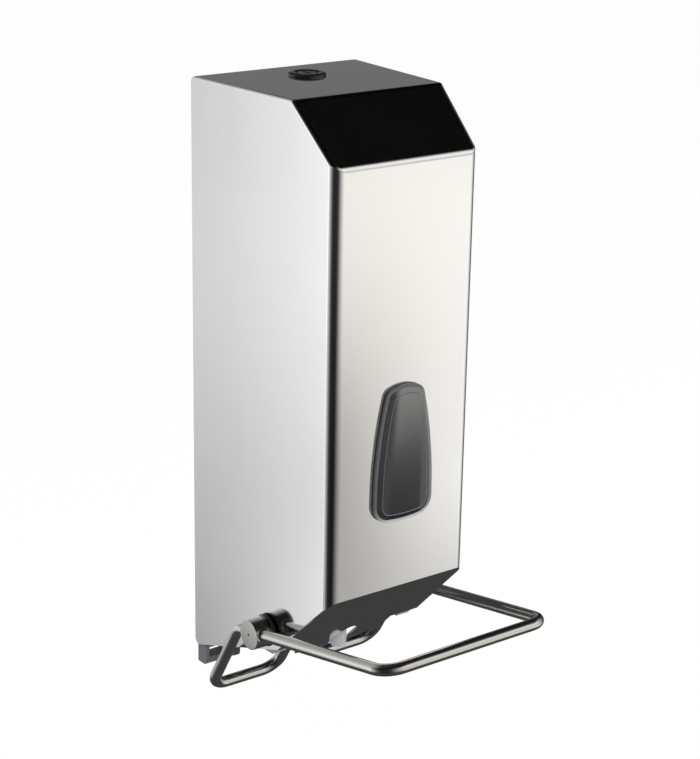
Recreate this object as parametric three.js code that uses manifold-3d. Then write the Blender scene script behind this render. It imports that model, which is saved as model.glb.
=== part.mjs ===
// Wall soap dispenser worked by an elbow lever, in millimetres.
// X runs left to right, +Y into the wall and +Z up. The origin lies on the wall face of the
// back plate, half way up the cover. "Left" is the side of negative X.
import * as THREE from "three";
import { mergeVertices } from "three/addons/utils/BufferGeometryUtils.js";
import Module from "manifold-3d";

const wasm = await Module();
wasm.setup();

// Clearances, the overrun of every cut, and how finely round things are faceted
const seatGap = 0.3;
const runGap = 0.3;
const faceGap = 0.05;
const overrun = 3;
const roundSides = 24;
const smallSides = 12;
const cornerSteps = 4;

// Cover: folded polished sheet, tapering towards the front, open behind and below
const coverHeight = 300;
const coverDepth = 109;
const coverBackWidth = 97;
const coverFrontWidth = 83;
const sheet = 1;
const wallGap = 0.5;
const topSlopeRun = 30.2;
const topSlopeDrop = 26.8;
const lowSlopeRun = 38;
const lowSlopeDrop = 38.2;
const sideFootRise = 23.8;
const rearCorner = 3;
const foldRadius = 2;
const frontBend = 3;

// Tab that carries the low slope on past the side panels, and its notch for the nozzle
const tabWidth = 52;
const tabLength = 16.7;
const notchWidth = 11;
const notchReach = 13.5;

// Level window in the front panel
const windowAboveFold = 34.8;
const windowHeight = 70.4;
const windowHalf = 17.6;
const windowTopHalf = 10.6;
const windowFootRise = 1.8;
const windowCrownDrop = 3.2;
const windowFootRadius = 9;
const windowHeadRadius = 5;
const windowEdgeRadius = 60;
const windowSideRadius = 150;
const windowCrownRadius = 18;
const waistShares = [0.983, 0.37];
const shoulderShares = [0.83, 0.71];
const lensLip = 2.2;
const lensFlange = 1.6;
const lensPlug = 4.5;
const lensPad = 0.5;
const lensPadInset = 3.5;
const gasketThickness = 0.45;
const gasketInset = 0.5;
const retainerWidth = 1.5;
const retainerThickness = 2;

// Lock in the top panel, with a hooked cam that catches a post on the back plate
const lockSetback = 28;
const lockFlangeRadius = 9.25;
const lockFlangeHeight = 1.6;
const lockEdge = 0.6;
const barrelRadius = 7.9;
const barrelLength = 10;
const coreRadius = 5;
const coreSunk = 0.4;
const coreTailRadius = 3;
const coreDrop = 11.7;
const keywayWidth = 1.4;
const keywayLength = 6.4;
const keywayDepth = 3;
const lockNutRadius = 11;
const lockNutThickness = 3;
const camThickness = 2;
const camHubRadius = 6;
const camFingerRadius = 14;
const camFingerWidth = 3;
const camArmWidth = 5;
const camStart = -60;
const camSweep = 80;
const camScrewRadius = 1.3;
const camScrewHead = 4.3;
const camScrewHeadHeight = 1.7;
const camScrewReach = 4;

// Back plate with a shelf for the reservoir, snap hooks, side rims and two hinge lugs
const plateThickness = 3;
const plateSideGap = 1;
const plateTopGap = 2;
const rimDepth = 5;
const rimThickness = 2;
const lugDepth = 8;
const lugDrop = 10;
const lugWall = 1.9;
const lugHole = 10.8;
const lugLeg = 5;
const lugBar = 4.4;
const lugRise = 8;
const lugCorner = 2.5;
const shelfThickness = 3;
const shelfSideGap = 4;
const shelfFrontGap = 4;
const gussetThickness = 3;
const gussetInset = 4;
const gussetDrop = 44;
const gussetReach = 66;
const hookThickness = 2.5;
const hookReach = 7;
const hookWidth = 12;
const hookSpacing = 48;
const screwHoleRadius = 2.75;
const screwSinkRadius = 5.25;
const screwSinkDepth = 1.6;
const screwHoleSpacingX = 52;
const screwHoleSpacingZ = 180;

// Latch keeper: a bent strip with a post, screwed to the back plate
const keeperThickness = 1.5;
const keeperHalf = 10;
const keeperArmHalf = 5;
const keeperDrop = 14;
const keeperBelowTop = 18;
const postRadius = 1.8;
const postOffset = 11;
const postHeight = 7.5;
const postBorder = 3;
const keeperScrewSpacing = 12;
const keeperScrewDrop = 8;
const keeperScrewRadius = 1.5;
const keeperScrewHead = 3;
const keeperScrewHeadHeight = 1.8;

// Hinge pins in the lugs, and the bracket inside the cover whose ears turn on them
const pinRadius = 1.2;
const earThickness = 3;
const earGap = 1;
const eyeRadius = 3.2;
const bracketThickness = 1.2;
const bracketSetback = 10.8;
const bracketBottomRise = 9;
const bracketHeight = 12;
const bracketFlange = 12;
const bracketFlangeThickness = 1.4;
const earRootWidth = 6;

// Reservoir and its filler cap
const reservoirBelowTop = 34;
const reservoirAboveBottom = 88;
const reservoirWall = 2;
const reservoirSideGap = 4;
const reservoirFrontGap = 10;
const reservoirBackGap = 4;
const reservoirCorner = 8;
const fillerSetback = 36;
const fillerBore = 16;
const fillerWall = 2.5;
const fillerHeight = 6;
const capWall = 2.4;
const capTop = 2;
const capSealThickness = 1;
const capGripCount = 24;
const capGripDepth = 0.6;

// Pump under the reservoir: union nut, cylinder, inlet valve, piston, spring and button.
// Its distance from the wall is a share of the hubs' distance.
const pumpShare = 0.616;
const neckRadius = 14;
const neckBore = 11;
const neckLength = 12;
const nutRadius = 20;
const nutLip = 2;
const nutGripCount = 12;
const nutGripRadius = 2;
const pumpSealThickness = 1;
const pumpFlange = 2;
const pumpRadius = 11;
const pumpBore = 8;
const pumpLength = 36.7;
const pumpFloor = 3;
const valveStem = 1.2;
const valveDisc = 6;
const valveDiscThickness = 1.2;
const valveBulb = 2.2;
const valveBulbHeight = 2.5;
const flowHoleRadius = 1.2;
const flowHoleRing = 4;
const flowHoleCount = 4;
const pistonHeight = 5;
const rodRadius = 4;
const sealGroove = 1.2;
const sealHeight = 2;
const buttonRadius = 12;
const buttonHeight = 6;
const buttonSocket = 3;
const buttonEdge = 1.2;
const springRadius = 6.5;
const springWire = 0.6;
const springCurls = 5;
const springSteps = 8;
const springSides = 5;

// Spout: a moulded elbow from the pump to the nozzle below the cover
const spoutRadius = 4.2;
const spoutBore = 2.5;
const spoutDrop = 14;
const spoutBend = 7;
const spoutReach = 22.8;
const spoutLength = 26;
const nozzleRadius = 4.2;
const nozzleBore = 1.7;
const nozzleSocket = 7;
const nozzleWall = 0.9;
const nozzleBelowTab = 1;
const nozzleEdge = 0.5;

// Lever: one bent round wire held in two turned hubs
const wireRadius = 3;
const wireInHub = 3.9;
const leverNarrowing = 3.3;
const leverReach = 101.4;
const leverRise = 19.6;
const bendBack = 14.7;
const footShare = 0.339;
const rearDrop = 43.6;
const hoopHalf = 11;
const wireBend = 9.5;
const wireSides = 12;
const wireBendSteps = 7;
const wireJoint = 0.4;

// Hubs: turned bosses whose stems turn in plastic bearing blocks inside the side panels
const hubBehindTabRoot = 9.3;
const hubAboveTabRoot = 7.9;
const hubRadius = 7.7;
const hubEdge = 0.4;
const hubLength = 8.1;
const hubDimple = 0.7;
const hubDimpleDepth = 0.5;
const glandRadius = 8.2;
const glandThickness = 1.2;
const ringRadius = 7.9;
const ringThickness = 0.8;
const stemRadius = 3.7;
const stemThreadRadius = 3;
const blockInnerX = 35;
const blockFront = 7.5;
const blockRear = 7.7;
const blockTop = 10.5;
const blockBelowRoot = 5.1;
const pivotNutThickness = 4.5;
const pivotNutRadius = 5.6;
const stemSpare = 1;
const grubRadius = 2;
const grubSocket = 1;
const grubSocketDepth = 1.5;
const grubSunk = 0.5;

// Places that follow from the sizes above
const topZ = coverHeight / 2;
const bottomZ = -coverHeight / 2;
const frontY = -coverDepth;
const frontTopZ = topZ - topSlopeDrop;
const tabRootY = frontY + lowSlopeRun;
const tabRootZ = bottomZ + sideFootRise;
const frontLowZ = tabRootZ + lowSlopeDrop;
const slopeLength = Math.hypot(lowSlopeRun, lowSlopeDrop);
const tabEndY = tabRootY + (lowSlopeRun / slopeLength) * tabLength;
const tabEndZ = tabRootZ - (lowSlopeDrop / slopeLength) * tabLength;
const lockY = -lockSetback;
const hubY = tabRootY + hubBehindTabRoot;
const hubZ = tabRootZ + hubAboveTabRoot;
const windowBottom = frontLowZ + windowAboveFold;
const plateHalf = coverBackWidth / 2 - sheet - plateSideGap;
const hingeY = -lugDepth / 2;
const hingeZ = bottomZ - lugDrop + lugBar / 2;
const reservoirBackY = -plateThickness - reservoirBackGap;
const reservoirFrontY = frontY + sheet + reservoirFrontGap;
const reservoirTop = topZ - reservoirBelowTop;
const reservoirBottom = bottomZ + reservoirAboveBottom;
const pumpY = hubY * pumpShare;
const neckEndZ = reservoirBottom - neckLength;
const pumpTopZ = neckEndZ - pumpSealThickness - 2 * seatGap;
const pumpEndZ = pumpTopZ - pumpLength;
const cylinderFloorZ = pumpEndZ + pumpFloor;
const upperY = hubY + bendBack;
const upperZ = hubZ - (leverRise / leverReach) * bendBack;
const footY = hubY * footShare;
const footZ = upperZ - rearDrop;
const crossbarZ = upperZ - (rearDrop * (pumpY - upperY)) / (footY - upperY);
const buttonBottomZ = crossbarZ + wireRadius + seatGap;
const buttonTopZ = buttonBottomZ + buttonHeight;
const nozzleY = pumpY - spoutReach;
const nozzleEndZ = tabEndZ - nozzleBelowTab;

// Half the cover's outside width at a depth y
function halfWidthAt(y) {
  const narrowing = (coverBackWidth - coverFrontWidth) / 2;
  return coverBackWidth / 2 + (narrowing * y) / coverDepth;
}

// Finishes, one new material for each piece
function finish(color, roughness, metalness, opacity = 1) {
  return new THREE.MeshStandardMaterial({
    color, roughness, metalness, opacity, transparent: opacity < 1,
  });
}
const polished = () => finish(0xd9d7d2, 0.12, 1);
const satinSteel = () => finish(0x8d8a84, 0.32, 1);
const plainSteel = () => finish(0x9c9d9f, 0.4, 1);
const darkMetal = () => finish(0x2c2c2e, 0.25, 0.6);
const greyPlastic = () => finish(0x77757f, 0.55, 0);
const blackPlastic = () => finish(0x202022, 0.5, 0);
const milkyPlastic = () => finish(0xdcdce6, 0.35, 0, 0.85);
const clearSmoke = () => finish(0x55565a, 0.1, 0, 0.6);
const tankPlastic = () => finish(0xc9ccd0, 0.3, 0, 0.7);
const rubber = () => finish(0x3a3a3a, 0.8, 0);

// Closed geometry to a solid, with its faces turned outwards
function solid(geometry) {
  const bare = geometry.clone();
  bare.deleteAttribute("normal");
  bare.deleteAttribute("uv");
  const merged = mergeVertices(bare);
  const points = merged.attributes.position;
  const index = merged.index.array;
  const a = new THREE.Vector3();
  const b = new THREE.Vector3();
  const c = new THREE.Vector3();
  const faces = [];
  let volume = 0;
  for (let i = 0; i < index.length; i += 3) {
    const [p, q, r] = [index[i], index[i + 1], index[i + 2]];
    if (p === q || q === r || r === p) continue;
    faces.push([p, q, r]);
    a.fromBufferAttribute(points, p);
    b.fromBufferAttribute(points, q);
    c.fromBufferAttribute(points, r);
    volume += a.dot(b.cross(c));
  }
  const turned = faces.map(([p, q, r]) => (volume > 0 ? [p, q, r] : [p, r, q]));
  return new wasm.Manifold(new wasm.Mesh({
    numProp: 3,
    vertProperties: Float32Array.from(points.array),
    triVerts: Uint32Array.from(turned.flat()),
  }));
}

// Solid to a named mesh
function piece(body, name, material) {
  const raw = body.getMesh();
  const geometry = new THREE.BufferGeometry();
  geometry.setAttribute("position", new THREE.BufferAttribute(raw.vertProperties, 3));
  geometry.setIndex(new THREE.BufferAttribute(raw.triVerts, 1));
  geometry.computeVertexNormals();
  const mesh = new THREE.Mesh(geometry, material);
  mesh.name = name;
  return mesh;
}

// Points of an arc that rounds one corner of an outline
function fillet(before, corner, after, radius) {
  const back = before.clone().sub(corner).normalize();
  const on = after.clone().sub(corner).normalize();
  const half = Math.acos(THREE.MathUtils.clamp(back.dot(on), -1, 1)) / 2;
  const reach = radius / Math.tan(half);
  const centre = back.clone().add(on).normalize().multiplyScalar(radius / Math.sin(half)).add(corner);
  const start = back.clone().multiplyScalar(reach).add(corner).sub(centre);
  const end = on.clone().multiplyScalar(reach).add(corner).sub(centre);
  const sweep = Math.atan2(start.cross(end), start.dot(end));
  const points = [];
  for (let i = 0; i <= cornerSteps; i++) {
    const turn = (sweep * i) / cornerSteps;
    points.push(start.clone().rotateAround(new THREE.Vector2(), turn).add(centre));
  }
  return points;
}

// Closed outline through corners written [u, v] or [u, v, radius]
function outline(corners) {
  const at = corners.map(([u, v]) => new THREE.Vector2(u, v));
  const count = corners.length;
  const points = corners.flatMap(([, , radius], i) => {
    if (!radius) return [at[i]];
    return fillet(at[(i + count - 1) % count], at[i], at[(i + 1) % count], radius);
  });
  return new THREE.Shape(points);
}

// Corners of an anticlockwise outline moved inwards, each edge by its own distance
function inset(corners, distances) {
  const count = corners.length;
  const edges = corners.map(([u, v], i) => {
    const [un, vn] = corners[(i + 1) % count];
    const along = new THREE.Vector2(un - u, vn - v).normalize();
    const inward = new THREE.Vector2(-along.y, along.x);
    const distance = Array.isArray(distances) ? distances[i] : distances;
    return { along, point: new THREE.Vector2(u, v).addScaledVector(inward, distance) };
  });
  return corners.map(([, , radius], i) => {
    const before = edges[(i + count - 1) % count];
    const after = edges[i];
    const gap = after.point.clone().sub(before.point);
    const reach = gap.cross(after.along) / before.along.cross(after.along);
    const corner = before.point.clone().addScaledVector(before.along, reach);
    const shrink = Array.isArray(distances) ? distances[i] : distances;
    return [corner.x, corner.y, radius ? Math.max(radius - shrink, radius / 4) : 0];
  });
}

// Outline in (y, z) made solid from x = low to x = high
function alongX(shape, low, high) {
  const geometry = new THREE.ExtrudeGeometry(shape, { depth: high - low, bevelEnabled: false });
  const axes = new THREE.Matrix4().makeBasis(
    new THREE.Vector3(0, 1, 0), new THREE.Vector3(0, 0, 1), new THREE.Vector3(1, 0, 0),
  );
  return solid(geometry.applyMatrix4(axes).translate(low, 0, 0));
}

// Outline in (x, z) made solid from y = back forward to y = front
function alongY(shape, back, front) {
  const geometry = new THREE.ExtrudeGeometry(shape, { depth: back - front, bevelEnabled: false });
  return solid(geometry.rotateX(Math.PI / 2).translate(0, back, 0));
}

// Outline in (x, y) made solid from z = low to z = high
function alongZ(shape, low, high) {
  const geometry = new THREE.ExtrudeGeometry(shape, { depth: high - low, bevelEnabled: false });
  return solid(geometry.translate(0, 0, low));
}

// Box between two corners
function box([x0, y0, z0], [x1, y1, z1]) {
  const geometry = new THREE.BoxGeometry(Math.abs(x1 - x0), Math.abs(y1 - y0), Math.abs(z1 - z0));
  return solid(geometry.translate((x0 + x1) / 2, (y0 + y1) / 2, (z0 + z1) / 2));
}

// Turned solid from [radius, height] points round an upright axis at (x, y)
function turnedZ(profile, x, y, sides = roundSides) {
  const points = profile.map(([r, z]) => new THREE.Vector2(r, z));
  const geometry = new THREE.LatheGeometry(points, sides);
  return solid(geometry.rotateX(Math.PI / 2).translate(x, y, 0));
}

// Turned solid from [radius, distance] points round an axis along X at (y, z)
// The distance is measured outwards from the middle on the side that is +1 or -1.
function turnedX(profile, side, y, z, sides = roundSides) {
  const points = profile.map(([r, x]) => new THREE.Vector2(r, x));
  const geometry = new THREE.LatheGeometry(points, sides);
  return solid(geometry.rotateZ((-side * Math.PI) / 2).translate(0, y, z));
}

// Ring profile for the turned solids
function ringProfile(inner, outer, low, high) {
  return [[inner, low], [outer, low], [outer, high], [inner, high], [inner, low]];
}

// Solid rod profile for the turned solids
function rodProfile(radius, low, high) {
  return [[0, low], [radius, low], [radius, high], [0, high]];
}

// Path through given stations, which keeps a section at each of them
class Route extends THREE.Curve {
  constructor(stations) {
    super();
    this.stations = stations;
  }
  getPoint(t, target = new THREE.Vector3()) {
    const place = THREE.MathUtils.clamp(t, 0, 1) * (this.stations.length - 1);
    const i = Math.min(Math.floor(place), this.stations.length - 2);
    return target.lerpVectors(this.stations[i], this.stations[i + 1], place - i);
  }
  getUtoTmapping(u) {
    return u;
  }
}

// Stations of a bent wire: corners are rounded to one bend radius
function bentStations(corners, radius, steps) {
  const stations = [corners[0]];
  for (let i = 1; i < corners.length - 1; i++) {
    const back = corners[i - 1].clone().sub(corners[i]).normalize();
    const on = corners[i + 1].clone().sub(corners[i]).normalize();
    const half = Math.acos(back.dot(on)) / 2;
    const inward = back.clone().add(on).normalize();
    const centre = inward.clone().multiplyScalar(radius / Math.sin(half)).add(corners[i]);
    const side = on.clone().sub(back).normalize();
    const swing = Math.PI / 2 - half;
    for (let k = 0; k <= steps; k++) {
      const turn = swing * ((2 * k) / steps - 1);
      const point = centre.clone().addScaledVector(inward, -radius * Math.cos(turn));
      stations.push(point.addScaledVector(side, radius * Math.sin(turn)));
    }
  }
  stations.push(corners[corners.length - 1]);
  return stations;
}

// Round tube along stations
function tube(stations, radius, sides) {
  const ring = [];
  for (let i = 0; i < sides; i++) {
    const turn = (2 * Math.PI * i) / sides;
    ring.push(new THREE.Vector2(radius * Math.cos(turn), radius * Math.sin(turn)));
  }
  return solid(new THREE.ExtrudeGeometry(new THREE.Shape(ring), {
    extrudePath: new Route(stations), steps: stations.length - 1, bevelEnabled: false,
  }));
}

// Cover: side outline in (y, z) and plan outline in (x, y), both anticlockwise
const sideCorners = [
  [-wallGap, bottomZ, rearCorner],
  [-wallGap, topZ, rearCorner],
  [frontY + topSlopeRun, topZ, foldRadius],
  [frontY, frontTopZ, foldRadius],
  [frontY, frontLowZ, foldRadius],
  [tabRootY, tabRootZ],
];
const planCorners = [
  [coverBackWidth / 2, 0],
  [-coverBackWidth / 2, 0],
  [-coverFrontWidth / 2, frontY, frontBend],
  [coverFrontWidth / 2, frontY, frontBend],
];
const openRear = -overrun;
const planSpan = [bottomZ - overrun, topZ + overrun];

// Space inside the cover, kept back from its walls by a gap and open behind and below
function coverSpace(gap) {
  const wall = sheet + gap;
  const side = inset(sideCorners, [openRear, wall, wall, wall, wall, openRear]);
  side[0][2] = 0;
  side[1][2] = 0;
  const plan = inset(planCorners, [openRear, wall, wall, wall]);
  const half = coverBackWidth / 2;
  return alongX(outline(side), -half, half).intersect(alongZ(outline(plan), ...planSpan));
}

function coverShell() {
  const half = coverBackWidth / 2;
  const outer = alongX(outline(sideCorners), -half, half)
    .intersect(alongZ(outline(planCorners), ...planSpan));
  const alongSlope = new THREE.Vector2(lowSlopeRun, -lowSlopeDrop).divideScalar(slopeLength);
  const offSlope = new THREE.Vector2(-alongSlope.y, alongSlope.x).multiplyScalar(sheet);
  const root = new THREE.Vector2(tabRootY, tabRootZ).addScaledVector(alongSlope, -overrun);
  const end = new THREE.Vector2(tabEndY, tabEndZ);
  const tab = alongX(
    new THREE.Shape([root, end, end.clone().add(offSlope), root.clone().add(offSlope)]),
    -tabWidth / 2, tabWidth / 2,
  );
  const notchEndY = tabEndY - notchReach;
  const notch = alongZ(outline([
    [notchWidth / 2, notchEndY, notchWidth / 2 - faceGap],
    [notchWidth / 2, tabEndY + overrun],
    [-notchWidth / 2, tabEndY + overrun],
    [-notchWidth / 2, notchEndY, notchWidth / 2 - faceGap],
  ]), tabEndZ - overrun, tabRootZ + notchReach);
  const lockHole = turnedZ(
    rodProfile(barrelRadius + runGap, topZ - overrun, topZ + overrun), 0, lockY,
  );
  const windowHole = alongY(outline(windowOutline(lensLip)), frontY + overrun, frontY - overrun);
  const stemHole = alongX(
    new THREE.Shape().absarc(hubY, hubZ, stemRadius + 2 * runGap, 0, 2 * Math.PI),
    -half, half,
  );
  return outer.subtract(coverSpace(0)).add(tab).subtract(notch)
    .subtract(lockHole).subtract(windowHole).subtract(stemHole);
}

// Window outline in (x, z): crowned top, bowed sides and a full foot, moved inwards by an amount
function windowOutline(amount) {
  const low = windowBottom;
  const high = windowBottom + windowHeight;
  const waist = [windowHalf * waistShares[0], low + windowHeight * waistShares[1]];
  const shoulder = [windowHalf * shoulderShares[0], low + windowHeight * shoulderShares[1]];
  const right = [
    [windowHalf, low + windowFootRise, windowFootRadius],
    [...waist, windowSideRadius],
    [...shoulder, windowSideRadius],
    [windowTopHalf, high - windowCrownDrop, windowHeadRadius],
  ];
  const left = right.map(([x, z, radius]) => [-x, z, radius]).reverse();
  const corners = [
    [0, low, windowEdgeRadius], ...right, [0, high, windowCrownRadius], ...left,
  ];
  return inset(corners, amount);
}

function windowPieces() {
  const gasketFront = frontY - faceGap - gasketThickness;
  const flangeBack = gasketFront - faceGap;
  const flangeFront = flangeBack - lensFlange;
  const whole = outline(windowOutline(0));
  const throat = outline(windowOutline(lensLip + runGap));
  const lens = alongY(whole, flangeBack, flangeFront)
    .add(alongY(throat, frontY + lensPlug, flangeFront + lensFlange / 2))
    .add(alongY(outline(windowOutline(lensPadInset)), flangeBack, flangeFront - lensPad));
  const opening = alongY(outline(windowOutline(lensLip)), frontY + lensPlug + overrun,
    flangeFront - overrun);
  const gasket = alongY(outline(windowOutline(gasketInset)), frontY - faceGap, gasketFront)
    .subtract(opening);
  const retainerFront = frontY + sheet + seatGap;
  const retainer = alongY(outline(windowOutline(-retainerWidth)),
    retainerFront + retainerThickness, retainerFront).subtract(opening);
  return [
    piece(lens, "window_lens", clearSmoke()),
    piece(gasket, "window_gasket", rubber()),
    piece(retainer, "window_retainer", greyPlastic()),
  ];
}

// Lock, from the flange on the top panel down to the cam and its screw
const barrelEndZ = topZ - barrelLength;
const camTopZ = topZ - coreDrop - seatGap;
const camBottomZ = camTopZ - camThickness;

function lockBody() {
  const low = topZ + faceGap;
  const high = topZ + lockFlangeHeight;
  return turnedZ([
    [coreRadius + runGap, barrelEndZ], [barrelRadius, barrelEndZ], [barrelRadius, low],
    [lockFlangeRadius, low], [lockFlangeRadius, high - lockEdge],
    [lockFlangeRadius - lockEdge, high], [coreRadius + runGap, high],
    [coreRadius + runGap, barrelEndZ],
  ], 0, lockY);
}

function lockNut() {
  const high = topZ - sheet - seatGap;
  const low = high - lockNutThickness;
  const nut = turnedZ(rodProfile(lockNutRadius, low, high), 0, lockY, 6);
  return nut.subtract(turnedZ(
    rodProfile(barrelRadius + runGap, low - overrun, high + overrun), 0, lockY,
  ));
}

function lockCore() {
  const face = topZ + lockFlangeHeight - coreSunk;
  const shoulder = topZ - coreDrop;
  const tail = camBottomZ - faceGap;
  const keyway = box(
    [-keywayWidth / 2, lockY - keywayLength / 2, face - keywayDepth],
    [keywayWidth / 2, lockY + keywayLength / 2, face + overrun],
  );
  const screwHole = rodProfile(camScrewRadius + runGap, tail - overrun, tail + camScrewReach + seatGap);
  return turnedZ([
    [0, tail], [coreTailRadius, tail], [coreTailRadius, shoulder], [coreRadius, shoulder],
    [coreRadius, face], [0, face],
  ], 0, lockY, roundSides).subtract(keyway).subtract(turnedZ(screwHole, 0, lockY, smallSides));
}

function lockCam() {
  const steps = 2 * cornerSteps;
  const sector = [];
  for (let i = 0; i <= steps; i++) {
    const turn = THREE.MathUtils.degToRad(camStart + (camSweep * i) / steps);
    sector.push(new THREE.Vector2(Math.cos(turn), Math.sin(turn)));
  }
  const outer = sector.map((v) => v.clone().multiplyScalar(camFingerRadius + camFingerWidth));
  const inner = sector.map((v) => v.clone().multiplyScalar(camFingerRadius)).reverse();
  const finger = alongZ(new THREE.Shape([...outer, ...inner]), camBottomZ, camTopZ);
  const armEnd = camFingerRadius + camFingerWidth / 2;
  const arm = alongZ(outline([
    [0, -camArmWidth / 2], [armEnd, -camArmWidth / 2], [armEnd, camArmWidth / 2],
    [0, camArmWidth / 2],
  ]), camBottomZ, camTopZ).rotate([0, 0, camStart + THREE.MathUtils.radToDeg(camArmWidth / armEnd) / 2]);
  const hub = turnedZ(rodProfile(camHubRadius, camBottomZ, camTopZ), 0, 0);
  const bore = turnedZ(
    rodProfile(coreTailRadius + runGap, camBottomZ - overrun, camTopZ + overrun), 0, 0,
  );
  return finger.add(arm).add(hub).subtract(bore).translate([0, lockY, 0]);
}

function camScrew() {
  const under = camBottomZ - seatGap;
  return turnedZ([
    [0, under - camScrewHeadHeight], [camScrewHead, under - camScrewHeadHeight],
    [camScrewHead, under], [camScrewRadius, under], [camScrewRadius, under + camScrewReach],
    [0, under + camScrewReach],
  ], 0, lockY, smallSides);
}

// Back plate
function backPlate() {
  const topEdge = topZ - plateTopGap;
  const corner = rearCorner;
  const panel = alongY(outline([
    [-plateHalf, bottomZ, corner / 4], [plateHalf, bottomZ, corner / 4],
    [plateHalf, topEdge, corner / 2], [-plateHalf, topEdge, corner / 2],
  ]), 0, -plateThickness);
  const shelfTop = reservoirBottom - seatGap;
  const shelfFront = reservoirFrontY + shelfFrontGap;
  const shelfHalf = halfWidthAt(shelfFront) - sheet - reservoirSideGap - shelfSideGap;
  let plate = panel.add(box(
    [-shelfHalf, -plateThickness / 2, shelfTop - shelfThickness], [shelfHalf, shelfFront, shelfTop],
  ));
  for (const side of [-1, 1]) {
    const rimInner = side * (plateHalf - rimThickness);
    plate = plate.add(box(
      [rimInner, -plateThickness / 2, bottomZ + rearCorner],
      [side * plateHalf, -plateThickness - rimDepth, topEdge - rearCorner],
    ));
    plate = plate.add(gusset(side, shelfHalf, shelfTop));
    const hookX = (side * hookSpacing) / 2;
    const hookLow = reservoirTop + seatGap;
    plate = plate.add(box(
      [hookX - hookWidth / 2, -plateThickness / 2, hookLow],
      [hookX + hookWidth / 2, reservoirBackY - hookReach, hookLow + hookThickness],
    ));
    plate = plate.add(lug(side));
    for (const end of [-1, 1]) {
      plate = plate.subtract(wallScrewHole(side * screwHoleSpacingX / 2, end * screwHoleSpacingZ / 2));
    }
    plate = plate.subtract(turnedYHole(
      keeperScrewRadius + seatGap, (side * keeperScrewSpacing) / 2, keeperScrewZ,
    ));
  }
  return plate.subtract(turnedZ(rodProfile(
    neckRadius + 2 * seatGap, shelfTop - shelfThickness - overrun, shelfTop + overrun,
  ), 0, pumpY));
}

// Hole through the back plate along Y
function turnedYHole(radius, x, z) {
  const round = new THREE.Shape().absarc(x, z, radius, 0, 2 * Math.PI);
  return alongY(round, overrun, -plateThickness - overrun);
}

// Countersunk wall screw hole, sunk on the front of the plate
function wallScrewHole(x, z) {
  const profile = [
    [0, -overrun], [screwHoleRadius, -overrun], [screwHoleRadius, plateThickness - screwSinkDepth],
    [screwSinkRadius, plateThickness], [screwSinkRadius, plateThickness + overrun],
    [0, plateThickness + overrun],
  ];
  const points = profile.map(([r, d]) => new THREE.Vector2(r, d));
  const geometry = new THREE.LatheGeometry(points, smallSides);
  return solid(geometry.rotateX(Math.PI).translate(x, 0, z));
}

// Triangular rib under one side of the shelf
function gusset(side, shelfHalf, shelfTop) {
  const outer = shelfHalf - gussetInset;
  const low = shelfTop - shelfThickness / 2;
  const shape = new THREE.Shape([
    new THREE.Vector2(-plateThickness / 2, low),
    new THREE.Vector2(-plateThickness - gussetReach, low),
    new THREE.Vector2(-plateThickness / 2, low - gussetDrop),
  ]);
  const rib = [side * outer, side * (outer - gussetThickness)].sort((a, b) => a - b);
  return alongX(shape, rib[0], rib[1]);
}

// Hinge lug below the plate: outer wall, see-through hole, bar with the pin bore, inner leg
function lug(side) {
  const low = bottomZ - lugDrop;
  const high = bottomZ + lugRise;
  const profile = [
    [0, low], [0, high], [-plateThickness, high], [-lugDepth, bottomZ + lugRise / 4],
    [-lugDepth, low, lugCorner],
  ];
  const width = lugWall + lugHole + lugLeg;
  const span = [side * plateHalf, side * (plateHalf - width)].sort((a, b) => a - b);
  const bodyOfLug = alongX(outline(profile), span[0], span[1]);
  const holeOuter = side * (plateHalf - lugWall);
  const hole = box(
    [holeOuter, overrun, low + lugBar], [holeOuter - side * lugHole, -lugDepth - overrun, bottomZ],
  );
  const bore = alongX(
    new THREE.Shape().absarc(hingeY, hingeZ, pinRadius + runGap, 0, 2 * Math.PI),
    ...[side * (plateHalf - lugWall / 2), side * (plateHalf - width - overrun)].sort((a, b) => a - b),
  );
  return bodyOfLug.subtract(hole).subtract(bore);
}

// Latch keeper and its screws
const keeperTopZ = topZ - keeperBelowTop;
const keeperScrewZ = keeperTopZ - keeperScrewDrop;

function latchKeeper() {
  const back = -plateThickness - seatGap;
  const postY = lockY + postOffset;
  const armFront = postY - postBorder;
  let keeper = box(
    [-keeperHalf, back, keeperTopZ - keeperDrop], [keeperHalf, back - keeperThickness, keeperTopZ],
  ).add(box(
    [-keeperArmHalf, back, keeperTopZ - keeperThickness], [keeperArmHalf, armFront, keeperTopZ],
  )).add(turnedZ(
    rodProfile(postRadius, keeperTopZ - keeperThickness / 2, keeperTopZ + postHeight), 0, postY,
    smallSides,
  ));
  for (const side of [-1, 1]) {
    keeper = keeper.subtract(turnedYHole(
      keeperScrewRadius + seatGap, (side * keeperScrewSpacing) / 2, keeperScrewZ,
    ));
  }
  return keeper;
}

function keeperScrew(side) {
  const under = plateThickness + seatGap + keeperThickness + seatGap;
  const points = [
    [0, plateThickness / 2], [keeperScrewRadius, plateThickness / 2], [keeperScrewRadius, under],
    [keeperScrewHead, under], [keeperScrewHead, under + keeperScrewHeadHeight / 2],
    [keeperScrewHead / 2, under + keeperScrewHeadHeight], [0, under + keeperScrewHeadHeight],
  ].map(([r, d]) => new THREE.Vector2(r, d));
  const geometry = new THREE.LatheGeometry(points, smallSides).rotateX(Math.PI);
  return solid(geometry.translate((side * keeperScrewSpacing) / 2, 0, keeperScrewZ));
}

// Hinge pins and the bracket whose ears turn on them
const lugInnerX = plateHalf - lugWall - lugHole - lugLeg;
const earOuterX = lugInnerX - earGap;
const earInnerX = earOuterX - earThickness;

function hingePin(side) {
  return turnedX(
    rodProfile(pinRadius, earInnerX - seatGap, plateHalf - lugWall / 2 - seatGap),
    side, hingeY, hingeZ, smallSides,
  );
}

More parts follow.
